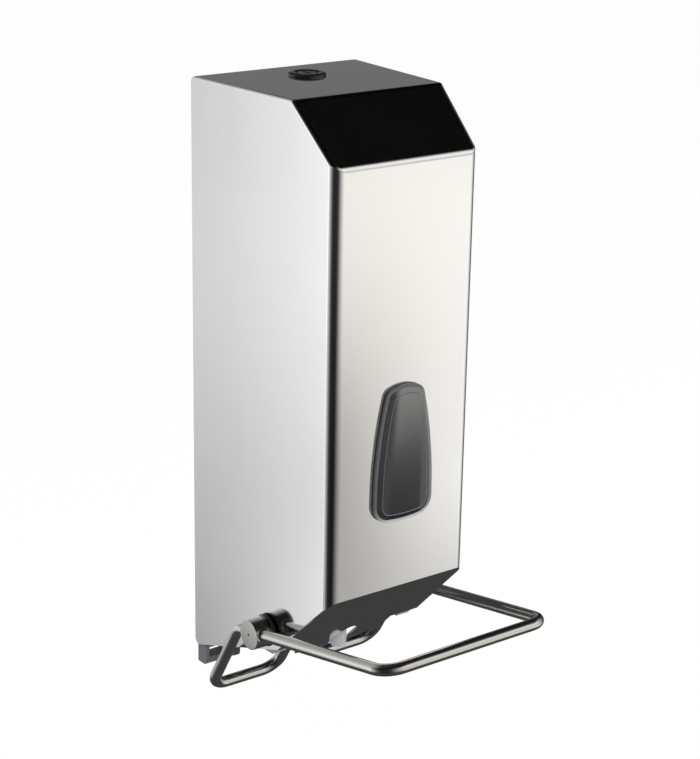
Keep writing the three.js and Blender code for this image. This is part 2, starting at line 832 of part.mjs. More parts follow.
function hingeBracket() {
  const rear = -bracketSetback;
  const low = bottomZ + bracketBottomRise;
  const high = low + bracketHeight;
  const half = coverBackWidth / 2;
  let bracket = box([-half, rear, low], [half, rear - bracketThickness, high]);
  for (const side of [-1, 1]) {
    const flangeInner = halfWidthAt(rear - bracketFlange) - sheet - seatGap - bracketFlangeThickness;
    bracket = bracket.add(box(
      [side * flangeInner, rear, low], [side * half, rear - bracketFlange, high],
    ));
    const ear = alongX(outline([
      [hingeY + eyeRadius, hingeZ - eyeRadius, eyeRadius - faceGap],
      [hingeY + eyeRadius, hingeZ + eyeRadius],
      [rear, low + earRootWidth], [rear - bracketThickness, low + earRootWidth],
      [rear - bracketThickness, low],
      [hingeY - eyeRadius, hingeZ + eyeRadius / 2],
      [hingeY - eyeRadius, hingeZ - eyeRadius, eyeRadius - faceGap],
    ]), ...[side * earInnerX, side * earOuterX].sort((a, b) => a - b));
    const eye = alongX(
      new THREE.Shape().absarc(hingeY, hingeZ, pinRadius + runGap, 0, 2 * Math.PI), -half, half,
    );
    bracket = bracket.add(ear).subtract(eye);
  }
  return bracket.intersect(box(
    [-half, 0, hingeZ - eyeRadius - overrun], [half, frontY, topZ],
  )).intersect(coverSpace(seatGap).add(box(
    [-earOuterX - earGap, 0, hingeZ - eyeRadius - overrun], [earOuterX + earGap, frontY / 2, high],
  )));
}

// Reservoir, tapering with the cover, with a filler neck above and an outlet neck below
function reservoirPlan(wall) {
  const halfBack = halfWidthAt(reservoirBackY) - sheet - reservoirSideGap;
  const halfFront = halfWidthAt(reservoirFrontY) - sheet - reservoirSideGap;
  return outline(inset([
    [halfBack, reservoirBackY, reservoirCorner], [-halfBack, reservoirBackY, reservoirCorner],
    [-halfFront, reservoirFrontY, reservoirCorner], [halfFront, reservoirFrontY, reservoirCorner],
  ], wall));
}

function reservoir() {
  const wall = reservoirWall;
  const fillerY = -fillerSetback;
  const fillerTop = reservoirTop + fillerHeight;
  const fillerOuter = fillerBore + fillerWall;
  return alongZ(reservoirPlan(0), reservoirBottom, reservoirTop)
    .add(turnedZ(rodProfile(fillerOuter, reservoirTop - wall / 2, fillerTop), 0, fillerY))
    .add(turnedZ(rodProfile(neckRadius, neckEndZ, reservoirBottom + wall / 2), 0, pumpY))
    .subtract(alongZ(reservoirPlan(wall), reservoirBottom + wall, reservoirTop - wall))
    .subtract(turnedZ(rodProfile(fillerBore, reservoirTop - overrun, fillerTop + overrun), 0, fillerY))
    .subtract(turnedZ(rodProfile(neckBore, neckEndZ - overrun, reservoirBottom + overrun), 0, pumpY));
}

function reservoirCap() {
  const inner = fillerBore + fillerWall + seatGap;
  const outer = inner + capWall;
  const low = reservoirTop + seatGap;
  const ceiling = reservoirTop + fillerHeight + capSealThickness + 2 * seatGap;
  let cap = turnedZ([
    [inner, low], [outer, low], [outer, ceiling + capTop], [0, ceiling + capTop], [0, ceiling],
    [inner, ceiling], [inner, low],
  ], 0, -fillerSetback, 2 * capGripCount);
  for (let i = 0; i < capGripCount; i++) {
    const turn = (2 * Math.PI * i) / capGripCount;
    cap = cap.subtract(turnedZ(
      rodProfile(capGripDepth, low - overrun, ceiling + capTop + overrun),
      outer * Math.cos(turn), outer * Math.sin(turn) - fillerSetback, smallSides / 2,
    ));
  }
  return cap;
}

function capSeal() {
  const low = reservoirTop + fillerHeight + seatGap;
  return turnedZ(
    ringProfile(fillerBore, fillerBore + fillerWall, low, low + capSealThickness), 0, -fillerSetback,
  );
}

// Pump
function pumpNut() {
  const high = reservoirBottom - seatGap - shelfThickness - seatGap;
  const inner = neckRadius + seatGap;
  const lipTop = pumpTopZ - pumpFlange - seatGap;
  const low = lipTop - nutLip;
  let nut = turnedZ([
    [inner, high], [inner, lipTop], [pumpRadius + seatGap, lipTop], [pumpRadius + seatGap, low],
    [nutRadius, low], [nutRadius, high], [inner, high],
  ], 0, pumpY);
  for (let i = 0; i < nutGripCount; i++) {
    const turn = (2 * Math.PI * i) / nutGripCount;
    nut = nut.subtract(turnedZ(
      rodProfile(nutGripRadius, low - overrun, high + overrun),
      (nutRadius + nutGripRadius / 2) * Math.cos(turn),
      (nutRadius + nutGripRadius / 2) * Math.sin(turn) + pumpY, smallSides / 2,
    ));
  }
  return nut;
}

function pumpSeal() {
  const low = pumpTopZ + seatGap;
  return turnedZ(ringProfile(neckBore, neckRadius, low, low + pumpSealThickness), 0, pumpY);
}

function pumpCylinder() {
  const ceiling = pumpTopZ - pumpFlange;
  const hole = valveStem + runGap;
  let cylinder = turnedZ([
    [hole, pumpTopZ], [hole, ceiling], [pumpBore, ceiling], [pumpBore, cylinderFloorZ],
    [rodRadius + runGap, cylinderFloorZ], [rodRadius + runGap, pumpEndZ], [pumpRadius, pumpEndZ],
    [pumpRadius, ceiling], [neckRadius - seatGap, ceiling], [neckRadius - seatGap, pumpTopZ],
    [hole, pumpTopZ],
  ], 0, pumpY);
  for (let i = 0; i < flowHoleCount; i++) {
    const turn = (2 * Math.PI * i) / flowHoleCount;
    cylinder = cylinder.subtract(turnedZ(
      rodProfile(flowHoleRadius, ceiling - overrun, pumpTopZ + overrun),
      flowHoleRing * Math.cos(turn), flowHoleRing * Math.sin(turn) + pumpY, smallSides / 2,
    ));
  }
  const port = new THREE.Shape().absarc(0, spoutTopZ, spoutBore, 0, 2 * Math.PI);
  return cylinder.subtract(alongY(port, pumpY - pumpBore / 2, pumpY - pumpRadius - overrun));
}

function inletValve() {
  const ceiling = pumpTopZ - pumpFlange;
  const discTop = ceiling - seatGap;
  const bulbLow = pumpTopZ + seatGap;
  return turnedZ([
    [0, discTop - valveDiscThickness], [valveDisc / 2, discTop - valveDiscThickness],
    [valveDisc, discTop - valveDiscThickness / 2], [valveDisc, discTop], [valveStem, discTop],
    [valveStem, bulbLow], [valveBulb, bulbLow], [valveStem / 2, bulbLow + valveBulbHeight],
    [0, bulbLow + valveBulbHeight],
  ], 0, pumpY, smallSides);
}

function pistonRod() {
  const low = cylinderFloorZ + seatGap;
  const pistonRadius = pumpBore - runGap;
  const grooveLow = low + (pistonHeight - sealHeight) / 2;
  const rodEnd = buttonTopZ - buttonSocket + seatGap;
  return turnedZ([
    [0, rodEnd], [rodRadius, rodEnd], [rodRadius, low], [pistonRadius, low],
    [pistonRadius, grooveLow], [pistonRadius - sealGroove, grooveLow],
    [pistonRadius - sealGroove, grooveLow + sealHeight], [pistonRadius, grooveLow + sealHeight],
    [pistonRadius, low + pistonHeight], [0, low + pistonHeight],
  ], 0, pumpY);
}

function pistonSeal() {
  const inner = pumpBore - runGap - sealGroove + seatGap / 2;
  const low = cylinderFloorZ + seatGap + (pistonHeight - sealHeight) / 2 + seatGap / 2;
  return turnedZ(ringProfile(
    inner, pumpBore - runGap / 2, low, low + sealHeight - seatGap,
  ), 0, pumpY);
}

function plungerButton() {
  const socket = rodRadius + seatGap;
  const floor = buttonTopZ - buttonSocket;
  return turnedZ([
    [0, buttonBottomZ], [buttonRadius - buttonEdge, buttonBottomZ],
    [buttonRadius, buttonBottomZ + buttonEdge], [buttonRadius, buttonTopZ], [socket, buttonTopZ],
    [socket, floor], [0, floor],
  ], 0, pumpY);
}

// Coil spring round the rod, one unbroken wire with straight ends
function pumpSpring() {
  const low = buttonTopZ + seatGap + springWire;
  const high = pumpEndZ - seatGap - springWire;
  const stations = [];
  const steps = springCurls * springSteps;
  for (let i = 0; i <= steps; i++) {
    const turn = (2 * Math.PI * i) / springSteps;
    stations.push(new THREE.Vector3(
      springRadius * Math.cos(turn), springRadius * Math.sin(turn), low + ((high - low) * i) / steps,
    ));
  }
  const lead = 2 * springWire;
  const first = stations[0].clone().add(new THREE.Vector3(0, -lead, 0));
  const last = stations[steps].clone().add(new THREE.Vector3(0, lead, 0));
  let least = Infinity;
  for (let i = 0; i < stations.length; i++) {
    for (let k = i + springSteps / 2; k < stations.length; k++) {
      least = Math.min(least, stations[i].distanceTo(stations[k]) - 2 * springWire);
    }
  }
  console.log(`pump_spring: least gap between its curls ${least.toFixed(2)} mm`);
  return tube([first, ...stations, last], springWire, springSides).translate([0, pumpY, 0]);
}

// Spout and nozzle
const spoutTopZ = pumpTopZ - spoutDrop;
const spoutEndZ = spoutTopZ - spoutLength;

function spout() {
  const start = pumpY - pumpRadius - seatGap;
  const route = (from, to) => bentStations([
    new THREE.Vector3(0, from, spoutTopZ), new THREE.Vector3(0, nozzleY, spoutTopZ),
    new THREE.Vector3(0, nozzleY, to),
  ], spoutBend, wireBendSteps);
  const skin = tube(route(start, spoutEndZ), spoutRadius, smallSides);
  const bore = tube(route(start + overrun, spoutEndZ - overrun), spoutBore, smallSides);
  return skin.subtract(bore);
}

function nozzle() {
  const socketOuter = spoutRadius + seatGap + nozzleWall;
  const socketTop = spoutEndZ + nozzleSocket;
  const shoulder = spoutEndZ - seatGap;
  return turnedZ([
    [nozzleBore, nozzleEndZ], [nozzleRadius - nozzleEdge, nozzleEndZ],
    [nozzleRadius, nozzleEndZ + nozzleEdge], [nozzleRadius, shoulder - nozzleWall],
    [socketOuter, shoulder], [socketOuter, socketTop], [spoutRadius + seatGap, socketTop],
    [spoutRadius + seatGap, shoulder], [nozzleBore, shoulder], [nozzleBore, nozzleEndZ],
  ], 0, nozzleY);
}

// Turned pieces stacked outwards from the side panel
const glandInnerX = halfWidthAt(hubY + glandRadius) + seatGap;
const ringInnerX = glandInnerX + glandThickness + runGap;
const hubInnerX = ringInnerX + ringThickness + runGap;
const hubOuterX = hubInnerX + hubLength;
const leverHalf = hubInnerX + wireInHub;

// Lever wire: front bar, arms through the hubs, rear arms, foot runs and the hoop under the pump
function leverWire() {
  const frontBarY = hubY - leverReach;
  const frontBarZ = hubZ + leverRise;
  const upperHalf = leverHalf + leverNarrowing * (bendBack / leverReach);
  const half = (side) => [
    new THREE.Vector3(side * hoopHalf, pumpY, crossbarZ),
    new THREE.Vector3(side * hoopHalf, footY, footZ),
    new THREE.Vector3(side * leverHalf, footY, footZ),
    new THREE.Vector3(side * upperHalf, upperY, upperZ),
    new THREE.Vector3(side * (leverHalf - leverNarrowing), frontBarY, frontBarZ),
  ];
  const corners = [
    new THREE.Vector3(wireJoint / 2, pumpY, crossbarZ), ...half(1),
    ...half(-1).reverse(), new THREE.Vector3(-wireJoint / 2, pumpY, crossbarZ),
  ];
  return tube(bentStations(corners, wireBend, wireBendSteps), wireRadius, wireSides);
}

// Hub, its grub screw, the fixed gland, the slip ring, the lock nut and the bearing block
function hub(side) {
  const nutX = blockInnerX - seatGap;
  const stemEnd = nutX - pivotNutThickness - stemSpare;
  const turned = turnedX([
    [0, stemEnd], [stemThreadRadius, stemEnd], [stemThreadRadius, nutX], [stemRadius, nutX],
    [stemRadius, hubInnerX], [hubRadius - hubEdge, hubInnerX], [hubRadius, hubInnerX + hubEdge],
    [hubRadius, hubOuterX - hubEdge], [hubRadius - hubEdge, hubOuterX], [hubDimple, hubOuterX],
    [0, hubOuterX - hubDimpleDepth],
  ], side, hubY, hubZ);
  const arm = new THREE.Vector3(-side * leverNarrowing, -leverReach, leverRise);
  const turn = new THREE.Quaternion().setFromUnitVectors(new THREE.Vector3(0, 1, 0), arm.normalize());
  const reach = hubRadius + overrun;
  const bore = solid(new THREE.CylinderGeometry(
    wireRadius + seatGap, wireRadius + seatGap, 2 * reach, roundSides,
  ).applyQuaternion(turn).translate(side * leverHalf, hubY, hubZ));
  const grubHole = turnedZ(
    rodProfile(grubRadius + seatGap, hubZ - hubRadius - overrun, hubZ), side * leverHalf, hubY,
    smallSides,
  );
  return turned.subtract(bore).subtract(grubHole);
}

function grubScrew(side) {
  const low = hubZ - hubRadius + grubSunk;
  const high = hubZ - wireRadius - 2 * seatGap;
  const socket = turnedZ(rodProfile(grubSocket, low - overrun, low + grubSocketDepth), 0, 0, 6);
  return turnedZ(rodProfile(grubRadius, low, high), 0, 0, smallSides).subtract(socket)
    .translate([side * leverHalf, hubY, 0]);
}

function gland(side) {
  const bore = stemRadius + runGap;
  return turnedX(
    ringProfile(bore, glandRadius, glandInnerX, glandInnerX + glandThickness), side, hubY, hubZ,
  );
}

function slipRing(side) {
  const bore = stemRadius + runGap;
  return turnedX(
    ringProfile(bore, ringRadius, ringInnerX, ringInnerX + ringThickness), side, hubY, hubZ,
  );
}

function pivotNut(side) {
  const outer = blockInnerX - seatGap;
  const inner = outer - pivotNutThickness;
  const nut = turnedX(rodProfile(pivotNutRadius, inner, outer), side, hubY, hubZ, 6);
  return nut.subtract(turnedX(
    rodProfile(stemThreadRadius + seatGap, inner - overrun, outer + overrun), side, hubY, hubZ,
  ));
}

function bearingBlock(side) {
  const low = tabRootZ - blockBelowRoot;
  const block = box(
    [side * blockInnerX, hubY - blockFront, low],
    [(side * coverBackWidth) / 2, hubY + blockRear, hubZ + blockTop],
  );
  const bore = turnedX(
    rodProfile(stemRadius + runGap, blockInnerX - overrun, coverBackWidth / 2), side, hubY, hubZ,
  );
  return block.intersect(coverSpace(seatGap)).subtract(bore);
}

// The dispenser, grouped as it moves
const dispenser = new THREE.Group();
const base = new THREE.Group();
const cover = new THREE.Group();
const lever = new THREE.Group();
const plunger = new THREE.Group();
const lock = new THREE.Group();
dispenser.add(base, cover, lever, plunger, lock);

base.add(
  piece(backPlate(), "back_plate", greyPlastic()),
  piece(latchKeeper(), "latch_keeper", plainSteel()),
  piece(reservoir(), "reservoir", tankPlastic()),
  piece(reservoirCap(), "reservoir_cap", greyPlastic()),
  piece(capSeal(), "cap_seal", rubber()),
  piece(pumpNut(), "pump_nut", greyPlastic()),
  piece(pumpSeal(), "pump_seal", rubber()),
  piece(pumpCylinder(), "pump_cylinder", milkyPlastic()),
  piece(inletValve(), "inlet_valve", rubber()),
  piece(pumpSpring(), "pump_spring", plainSteel()),
  piece(spout(), "spout", milkyPlastic()),
  piece(nozzle(), "nozzle", milkyPlastic()),
);
plunger.add(
  piece(pistonRod(), "piston_rod", milkyPlastic()),
  piece(pistonSeal(), "piston_seal", rubber()),
  piece(plungerButton(), "plunger_button", milkyPlastic()),
);
cover.add(
  piece(coverShell(), "cover_shell", polished()),
  piece(hingeBracket(), "hinge_bracket", plainSteel()),
  ...windowPieces(),
  piece(lockBody(), "lock_body", darkMetal()),
  piece(lockNut(), "lock_nut", plainSteel()),
);
lock.add(
  piece(lockCore(), "lock_core", darkMetal()),
  piece(lockCam(), "lock_cam", plainSteel()),
  piece(camScrew(), "cam_screw", plainSteel()),
);
lever.add(piece(leverWire(), "lever_wire", satinSteel()));
for (const [side, hand] of [[-1, "left"], [1, "right"]]) {
  base.add(
    piece(hingePin(side), `hinge_pin_${hand}`, plainSteel()),
    piece(keeperScrew(side), `keeper_screw_${hand}`, plainSteel()),
  );
  cover.add(
    piece(bearingBlock(side), `bearing_block_${hand}`, greyPlastic()),
    piece(gland(side), `pivot_gland_${hand}`, blackPlastic()),
  );
  lever.add(
    piece(hub(side), `hub_${hand}`, satinSteel()),
    piece(slipRing(side), `slip_ring_${hand}`, plainSteel()),
    piece(grubScrew(side), `hub_screw_${hand}`, darkMetal()),
    piece(pivotNut(side), `pivot_nut_${hand}`, plainSteel()),
  );
}

export default dispenser;
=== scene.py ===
# Wall soap dispenser worked by an elbow lever: the visible pieces, their finishes and the studio.
# Sizes are in millimetres, and MM turns them into metres where Blender wants those.
import math

import bmesh
import bpy
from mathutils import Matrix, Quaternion, Vector


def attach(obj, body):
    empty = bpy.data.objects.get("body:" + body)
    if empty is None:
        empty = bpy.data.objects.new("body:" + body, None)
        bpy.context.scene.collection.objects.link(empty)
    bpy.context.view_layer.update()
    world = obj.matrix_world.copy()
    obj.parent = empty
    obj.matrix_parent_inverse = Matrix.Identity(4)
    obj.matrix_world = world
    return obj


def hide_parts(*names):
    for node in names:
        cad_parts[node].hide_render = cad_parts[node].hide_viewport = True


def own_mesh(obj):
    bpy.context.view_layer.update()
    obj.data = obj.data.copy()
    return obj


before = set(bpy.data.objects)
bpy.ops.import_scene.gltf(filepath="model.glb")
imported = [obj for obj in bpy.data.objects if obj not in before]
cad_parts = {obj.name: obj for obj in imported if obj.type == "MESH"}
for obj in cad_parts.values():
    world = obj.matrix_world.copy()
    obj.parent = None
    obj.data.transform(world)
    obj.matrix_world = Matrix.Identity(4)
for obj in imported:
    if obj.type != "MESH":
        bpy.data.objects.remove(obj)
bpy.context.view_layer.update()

# Back plate. The real one is injection moulded in purple-grey plastic and screwed to the wall.
# It carries the shelf for the tank, the snap hooks and the two hinge lugs below the cover.
MM = 0.001


def let_go():
    """Leaves edit mode and lets go of everything that is selected"""
    if bpy.context.mode != "OBJECT":
        bpy.ops.object.mode_set(mode="OBJECT")
    bpy.ops.object.select_all(action="DESELECT")


def take(piece):
    """Selects one piece alone and makes it active"""
    let_go()
    bpy.context.view_layer.objects.active = piece
    piece.select_set(True)


def open_mesh(piece):
    """Opens a piece for editing with nothing in it selected"""
    take(piece)
    bpy.ops.object.mode_set(mode="EDIT")
    bpy.ops.mesh.select_all(action="DESELECT")


def pick(piece, kind, test):
    """Selects the faces, edges or corners whose place in mm and direction pass a test"""
    bpy.ops.mesh.select_mode(type=kind)
    shape = bmesh.from_edit_mesh(piece.data)
    if kind == "FACE":
        for face in shape.faces:
            face.select_set(bool(test(face.calc_center_median() / MM, face.normal)))
    elif kind == "EDGE":
        for edge in shape.edges:
            start, end = (corner.co / MM for corner in edge.verts)
            edge.select_set(bool(test((start + end) / 2, (end - start).normalized())))
    else:
        for corner in shape.verts:
            corner.select_set(bool(test(corner.co / MM, corner.normal)))
    shape.select_flush_mode()
    bmesh.update_edit_mesh(piece.data)


def keep_as(name):
    """Names the newest primitive and settles its place, turn and size in its mesh"""
    piece = bpy.context.object
    piece.name = piece.data.name = name
    bpy.ops.object.transform_apply(location=True, rotation=True, scale=True)
    return piece


def modify(piece, kind, **settings):
    """Adds a modifier and applies it"""
    take(piece)
    modifier = piece.modifiers.new(kind.title(), kind)
    for key, value in settings.items():
        setattr(modifier, key, value)
    bpy.ops.object.modifier_apply(modifier=modifier.name)
    return piece


def smooth(piece, degrees=40):
    """Smooth shading over rounded places, with flat faces kept flat"""
    take(piece)
    bpy.ops.object.shade_smooth_by_angle(angle=math.radians(degrees))
    return modify(piece, "WEIGHTED_NORMAL", keep_sharp=True, weight=80)


def clean_up(piece):
    """Merges corners that a cut or bevel has left almost in one place"""
    open_mesh(piece)
    bpy.ops.mesh.select_all(action="SELECT")
    bpy.ops.mesh.remove_doubles(threshold=0.01 * MM)
    bpy.ops.mesh.dissolve_degenerate(threshold=0.01 * MM)
    let_go()
    return piece


def ease_edges(piece, width, segments=2, degrees=40):
    """Rounds every edge sharper than an angle and smooths the piece"""
    modify(
        piece, "BEVEL", width=width * MM, segments=segments, limit_method="ANGLE",
        angle_limit=math.radians(degrees), harden_normals=False, miter_outer="MITER_ARC",
    )
    return smooth(clean_up(piece))


def add_object(name, data):
    """Adds an object with its data to the scene"""
    data.name = name
    made = bpy.data.objects.new(name, data)
    bpy.context.collection.objects.link(made)
    return made


def copy_of(node, name):
    """A merged copy of a plain solid, with its flat faces made whole"""
    piece = add_object(name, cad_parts[node].data.copy())
    open_mesh(piece)
    bpy.ops.mesh.select_all(action="SELECT")
    bpy.ops.mesh.remove_doubles(threshold=0.001 * MM)
    bpy.ops.mesh.dissolve_limited(angle_limit=math.radians(0.5))
    let_go()
    return piece


def open_profile():
    """Opens the newest circle for drawing out, with its edges selected"""
    bpy.ops.object.mode_set(mode="EDIT")
    bpy.ops.mesh.select_mode(type="EDGE")
    bpy.ops.mesh.select_all(action="SELECT")


def face_outwards():
    """Turns all faces of the open piece outwards"""
    bpy.ops.mesh.select_all(action="SELECT")
    bpy.ops.mesh.normals_make_consistent(inside=False)


def close_ends(piece):
    """Closes every open end of a piece with a flat face"""
    open_mesh(piece)
    bpy.ops.mesh.select_mode(type="EDGE")
    bpy.ops.mesh.select_all(action="SELECT")
    bpy.ops.mesh.fill_holes(sides=0)
    face_outwards()
    let_go()
    return piece


class Value:
    """A number that varies over a surface. Arithmetic on it adds Math nodes."""

    def __init__(self, bench, socket):
        self.bench = bench
        self.socket = socket

    def reckon(self, operation, first, second=0.0):
        return self.bench.node("ShaderNodeMath", {"operation": operation}, {0: first, 1: second})

    def __add__(self, other):
        return self.reckon("ADD", self, other)

    def __radd__(self, other):
        return self.reckon("ADD", other, self)

    def __sub__(self, other):
        return self.reckon("SUBTRACT", self, other)

    def __rsub__(self, other):
        return self.reckon("SUBTRACT", other, self)

    def __mul__(self, other):
        return self.reckon("MULTIPLY", self, other)

    def __rmul__(self, other):
        return self.reckon("MULTIPLY", other, self)


class Bench:
    """A node tree being put together"""

    def __init__(self, tree):
        self.tree = tree

    def node(self, kind, settings=None, sockets=None, out=0):
        made = self.tree.nodes.new(kind)
        for key, value in (settings or {}).items():
            if key == "stops":
                self.set_stops(made.color_ramp, value)
            else:
                setattr(made, key, value)
        for key, value in (sockets or {}).items():
            self.feed(made.inputs[key], value)
        return Value(self, made.outputs[out]) if made.outputs else None

    def feed(self, socket, value):
        if isinstance(value, Value):
            self.tree.links.new(value.socket, socket)
        else:
            socket.default_value = value

    def set_stops(self, ramp, stops):
        ramp.elements.remove(ramp.elements[1])
        ramp.elements[0].position = stops[0][0]
        made = [ramp.elements[0]] + [ramp.elements.new(place) for place, _ in stops[1:]]
        for element, (_, level) in zip(made, stops):
            element.color = (*level, 1) if isinstance(level, tuple) else (level, level, level, 1)

    def grain(self, scale, detail=2, stretch=(1, 1, 1)):
        """Fine noise on the piece's own coordinates, drawn out along an axis if asked"""
        spot = self.node("ShaderNodeTexCoord", out="Object")
        laid = self.node("ShaderNodeMapping", sockets={"Vector": spot, "Scale": stretch})
        return self.node(
            "ShaderNodeTexNoise", sockets={"Vector": laid, "Scale": scale, "Detail": detail},
        )

    def between(self, share, first, second):
        """A colour that goes from the first to the second as share goes from 0 to 1"""
        ends = [end if isinstance(end, Value) else (*end, 1) for end in (first, second)]
        return self.node(
            "ShaderNodeMix", {"data_type": "RGBA"}, {"Factor": share, 6: ends[0], 7: ends[1]}, out=2,
        )

    def relief(self, height, depth, under=None):
        """Raises the surface by height times depth, in mm"""
        sockets = {"Height": height, "Strength": 1.0, "Distance": depth * MM}
        if under is not None:
            sockets["Normal"] = under
        return self.node("ShaderNodeBump", sockets=sockets)


def finish_named(name, **fixed):
    """A new material, with what is the same all over it set on the shader's own sockets"""
    material = bpy.data.materials.new(name)
    material.use_nodes = True
    shader = material.node_tree.nodes["Principled BSDF"]
    for key, value in fixed.items():
        shader.inputs[key.replace("_", " ")].default_value = value
    return material, Bench(material.node_tree), shader.inputs


def moulded_plastic(name, light, dark, shine=0.5, texture=0.03):
    """Moulded plastic with a spark-eroded texture and a slightly clouded colour"""
    material, bench, inputs = finish_named(name, IOR=1.5)
    cloud = bench.grain(35)
    pits = bench.grain(2600, detail=1)
    bench.feed(inputs["Base Color"], bench.between(cloud, dark, light))
    bench.feed(inputs["Roughness"], shine - 0.06 + 0.12 * cloud)
    bench.feed(inputs["Normal"], bench.relief(pits, texture))
    return material


def fit(piece, finish, slot, body, *nodes):
    """Gives a piece its finish, hangs it on its body and stands it for its solids. The slot is not
    used.
    """
    piece.data.materials.clear()
    piece.data.materials.append(finish)
    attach(piece, body)
    if nodes:
        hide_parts(*nodes)


grey_moulding = moulded_plastic("grey_moulding", (0.225, 0.215, 0.26), (0.17, 0.162, 0.2))
wall_plate = ease_edges(copy_of("back_plate", "wall_plate"), 0.35)
fit(wall_plate, grey_moulding, "grey_plastic", "base", "back_plate")

# Latch keeper. The real one is a strip of zinc plated steel, bent and with a riveted post, held
# to the back plate by two small pan head screws with cross recesses.


def bare_metal(name, light, dark, shine):
    """Bare or plated metal with fine scratches"""
    material, bench, inputs = finish_named(name, Metallic=1.0)
    cloud = bench.grain(60)
    marks = bench.grain(900, detail=3)
    bench.feed(inputs["Base Color"], bench.between(cloud, dark, light))
    bench.feed(inputs["Roughness"], shine - 0.05 + 0.06 * cloud + 0.05 * marks)
    bench.feed(inputs["Normal"], bench.relief(marks, 0.005))
    return material


def cut_away(piece, cutter):
    """Cuts one solid out of a piece and throws the cutter away"""
    modify(piece, "BOOLEAN", operation="DIFFERENCE", object=cutter, solver="EXACT")
    bpy.data.objects.remove(cutter)
    return piece


def block(name, low, high):
    """A cube drawn out between two corners"""
    let_go()
    middle = [(a + b) / 2 * MM for a, b in zip(low, high)]
    bpy.ops.mesh.primitive_cube_add(size=1, location=middle)
    bpy.context.object.scale = [(b - a) * MM for a, b in zip(low, high)]
    return keep_as(name)


def turned(name, rings, place, axis="Z", sides=64):
    """A turned piece drawn out from a circle, ring by ring, as (radius, distance along axis).
    A profile that ends where it began is a ring, and any other is closed at both ends."""
    let_go()
    radius, height = rings[0]
    bpy.ops.mesh.primitive_circle_add(
        vertices=sides, radius=radius * MM, location=(0, 0, height * MM), fill_type="NOTHING",
    )
    piece = keep_as(name)
    open_profile()
    for (last_radius, last_height), (radius, height) in zip(rings, rings[1:]):
        rise = (height - last_height) * MM
        bpy.ops.mesh.extrude_region_move(TRANSFORM_OT_translate={"value": (0, 0, rise)})
        if radius != last_radius:
            share = radius / last_radius
            bpy.ops.transform.resize(
                value=(share, share, 1), center_override=(0, 0, height * MM),
            )
    if rings[0] == rings[-1]:
        bpy.ops.mesh.select_all(action="SELECT")
        bpy.ops.mesh.remove_doubles(threshold=0.001 * MM)
    close_ends(piece)
    take(piece)
    turns = {"Z": (0, 0, 0), "X": (0, 90, 0), "-X": (0, -90, 0), "-Y": (90, 0, 0)}
    piece.rotation_euler = [math.radians(angle) for angle in turns[axis]]
    piece.location = [part * MM for part in place]
    return keep_as(name)


zinc_plate = bare_metal("zinc_plate", (0.62, 0.62, 0.62), (0.5, 0.5, 0.51), 0.36)
keeper = ease_edges(copy_of("latch_keeper", "bent_keeper"), 0.2)
fit(keeper, zinc_plate, "plain_steel", "base", "latch_keeper")

pan_head = [
    (1.5, 1.6), (1.5, 5.1), (3, 5.1), (3, 5.5), (2.9, 5.95), (2.55, 6.4), (1.9, 6.75), (1, 6.88),
]
screw_x, screw_z = 6, 124
recess_mouth, recess_floor = -7.5, -5.7
for hand, side in (("left", -1), ("right", 1)):
    centre = side * screw_x
    screw = turned(f"pan_screw_{hand}", pan_head, (centre, 0, screw_z), axis="-Y", sides=32)
    for long, wide in ((1.6, 0.3), (0.3, 1.6)):
        low = (centre - long, recess_mouth, screw_z - wide)
        high = (centre + long, recess_floor, screw_z + wide)
        cut_away(screw, block("cross_recess", low, high))
    fit(smooth(screw), zinc_plate, "plain_steel", "base", f"keeper_screw_{hand}")

# Hinge pins. Each is a short rod of zinc plated steel, turned with chamfered ends. It is pressed
# into the bore of its lug and carries the cover.
hinge_line = (0, -4, -157.8)
pin_rings = [(0.9, 24.5), (1.2, 24.8), (1.2, 44.95), (0.9, 45.25)]
for hand, axis in (("left", "-X"), ("right", "X")):
    pin = smooth(turned(f"pressed_pin_{hand}", pin_rings, hinge_line, axis, sides=32))
    fit(pin, zinc_plate, "plain_steel", "base", f"hinge_pin_{hand}")

# Tank. The real one is a blow moulded bottle of cloudy polyethylene, square in plan with round
# corners, with a wide filler neck above and the outlet neck below.


def cloudy_plastic(name, light, dark, shine, opacity):
    """Cloudy plastic that lets some light through, with faint flow lines"""
    material, bench, inputs = finish_named(
        name, IOR=1.5, Subsurface_Weight=0.25, Subsurface_Radius=(0.004, 0.004, 0.004),
    )
    cloud = bench.grain(45, stretch=(1, 1, 0.35))
    bench.feed(inputs["Base Color"], bench.between(cloud, dark, light))
    bench.feed(inputs["Roughness"], shine - 0.04 + 0.08 * cloud)
    bench.feed(inputs["Alpha"], opacity - 0.04 + 0.08 * cloud)
    bench.feed(inputs["Normal"], bench.relief(cloud, 0.08))
    return material


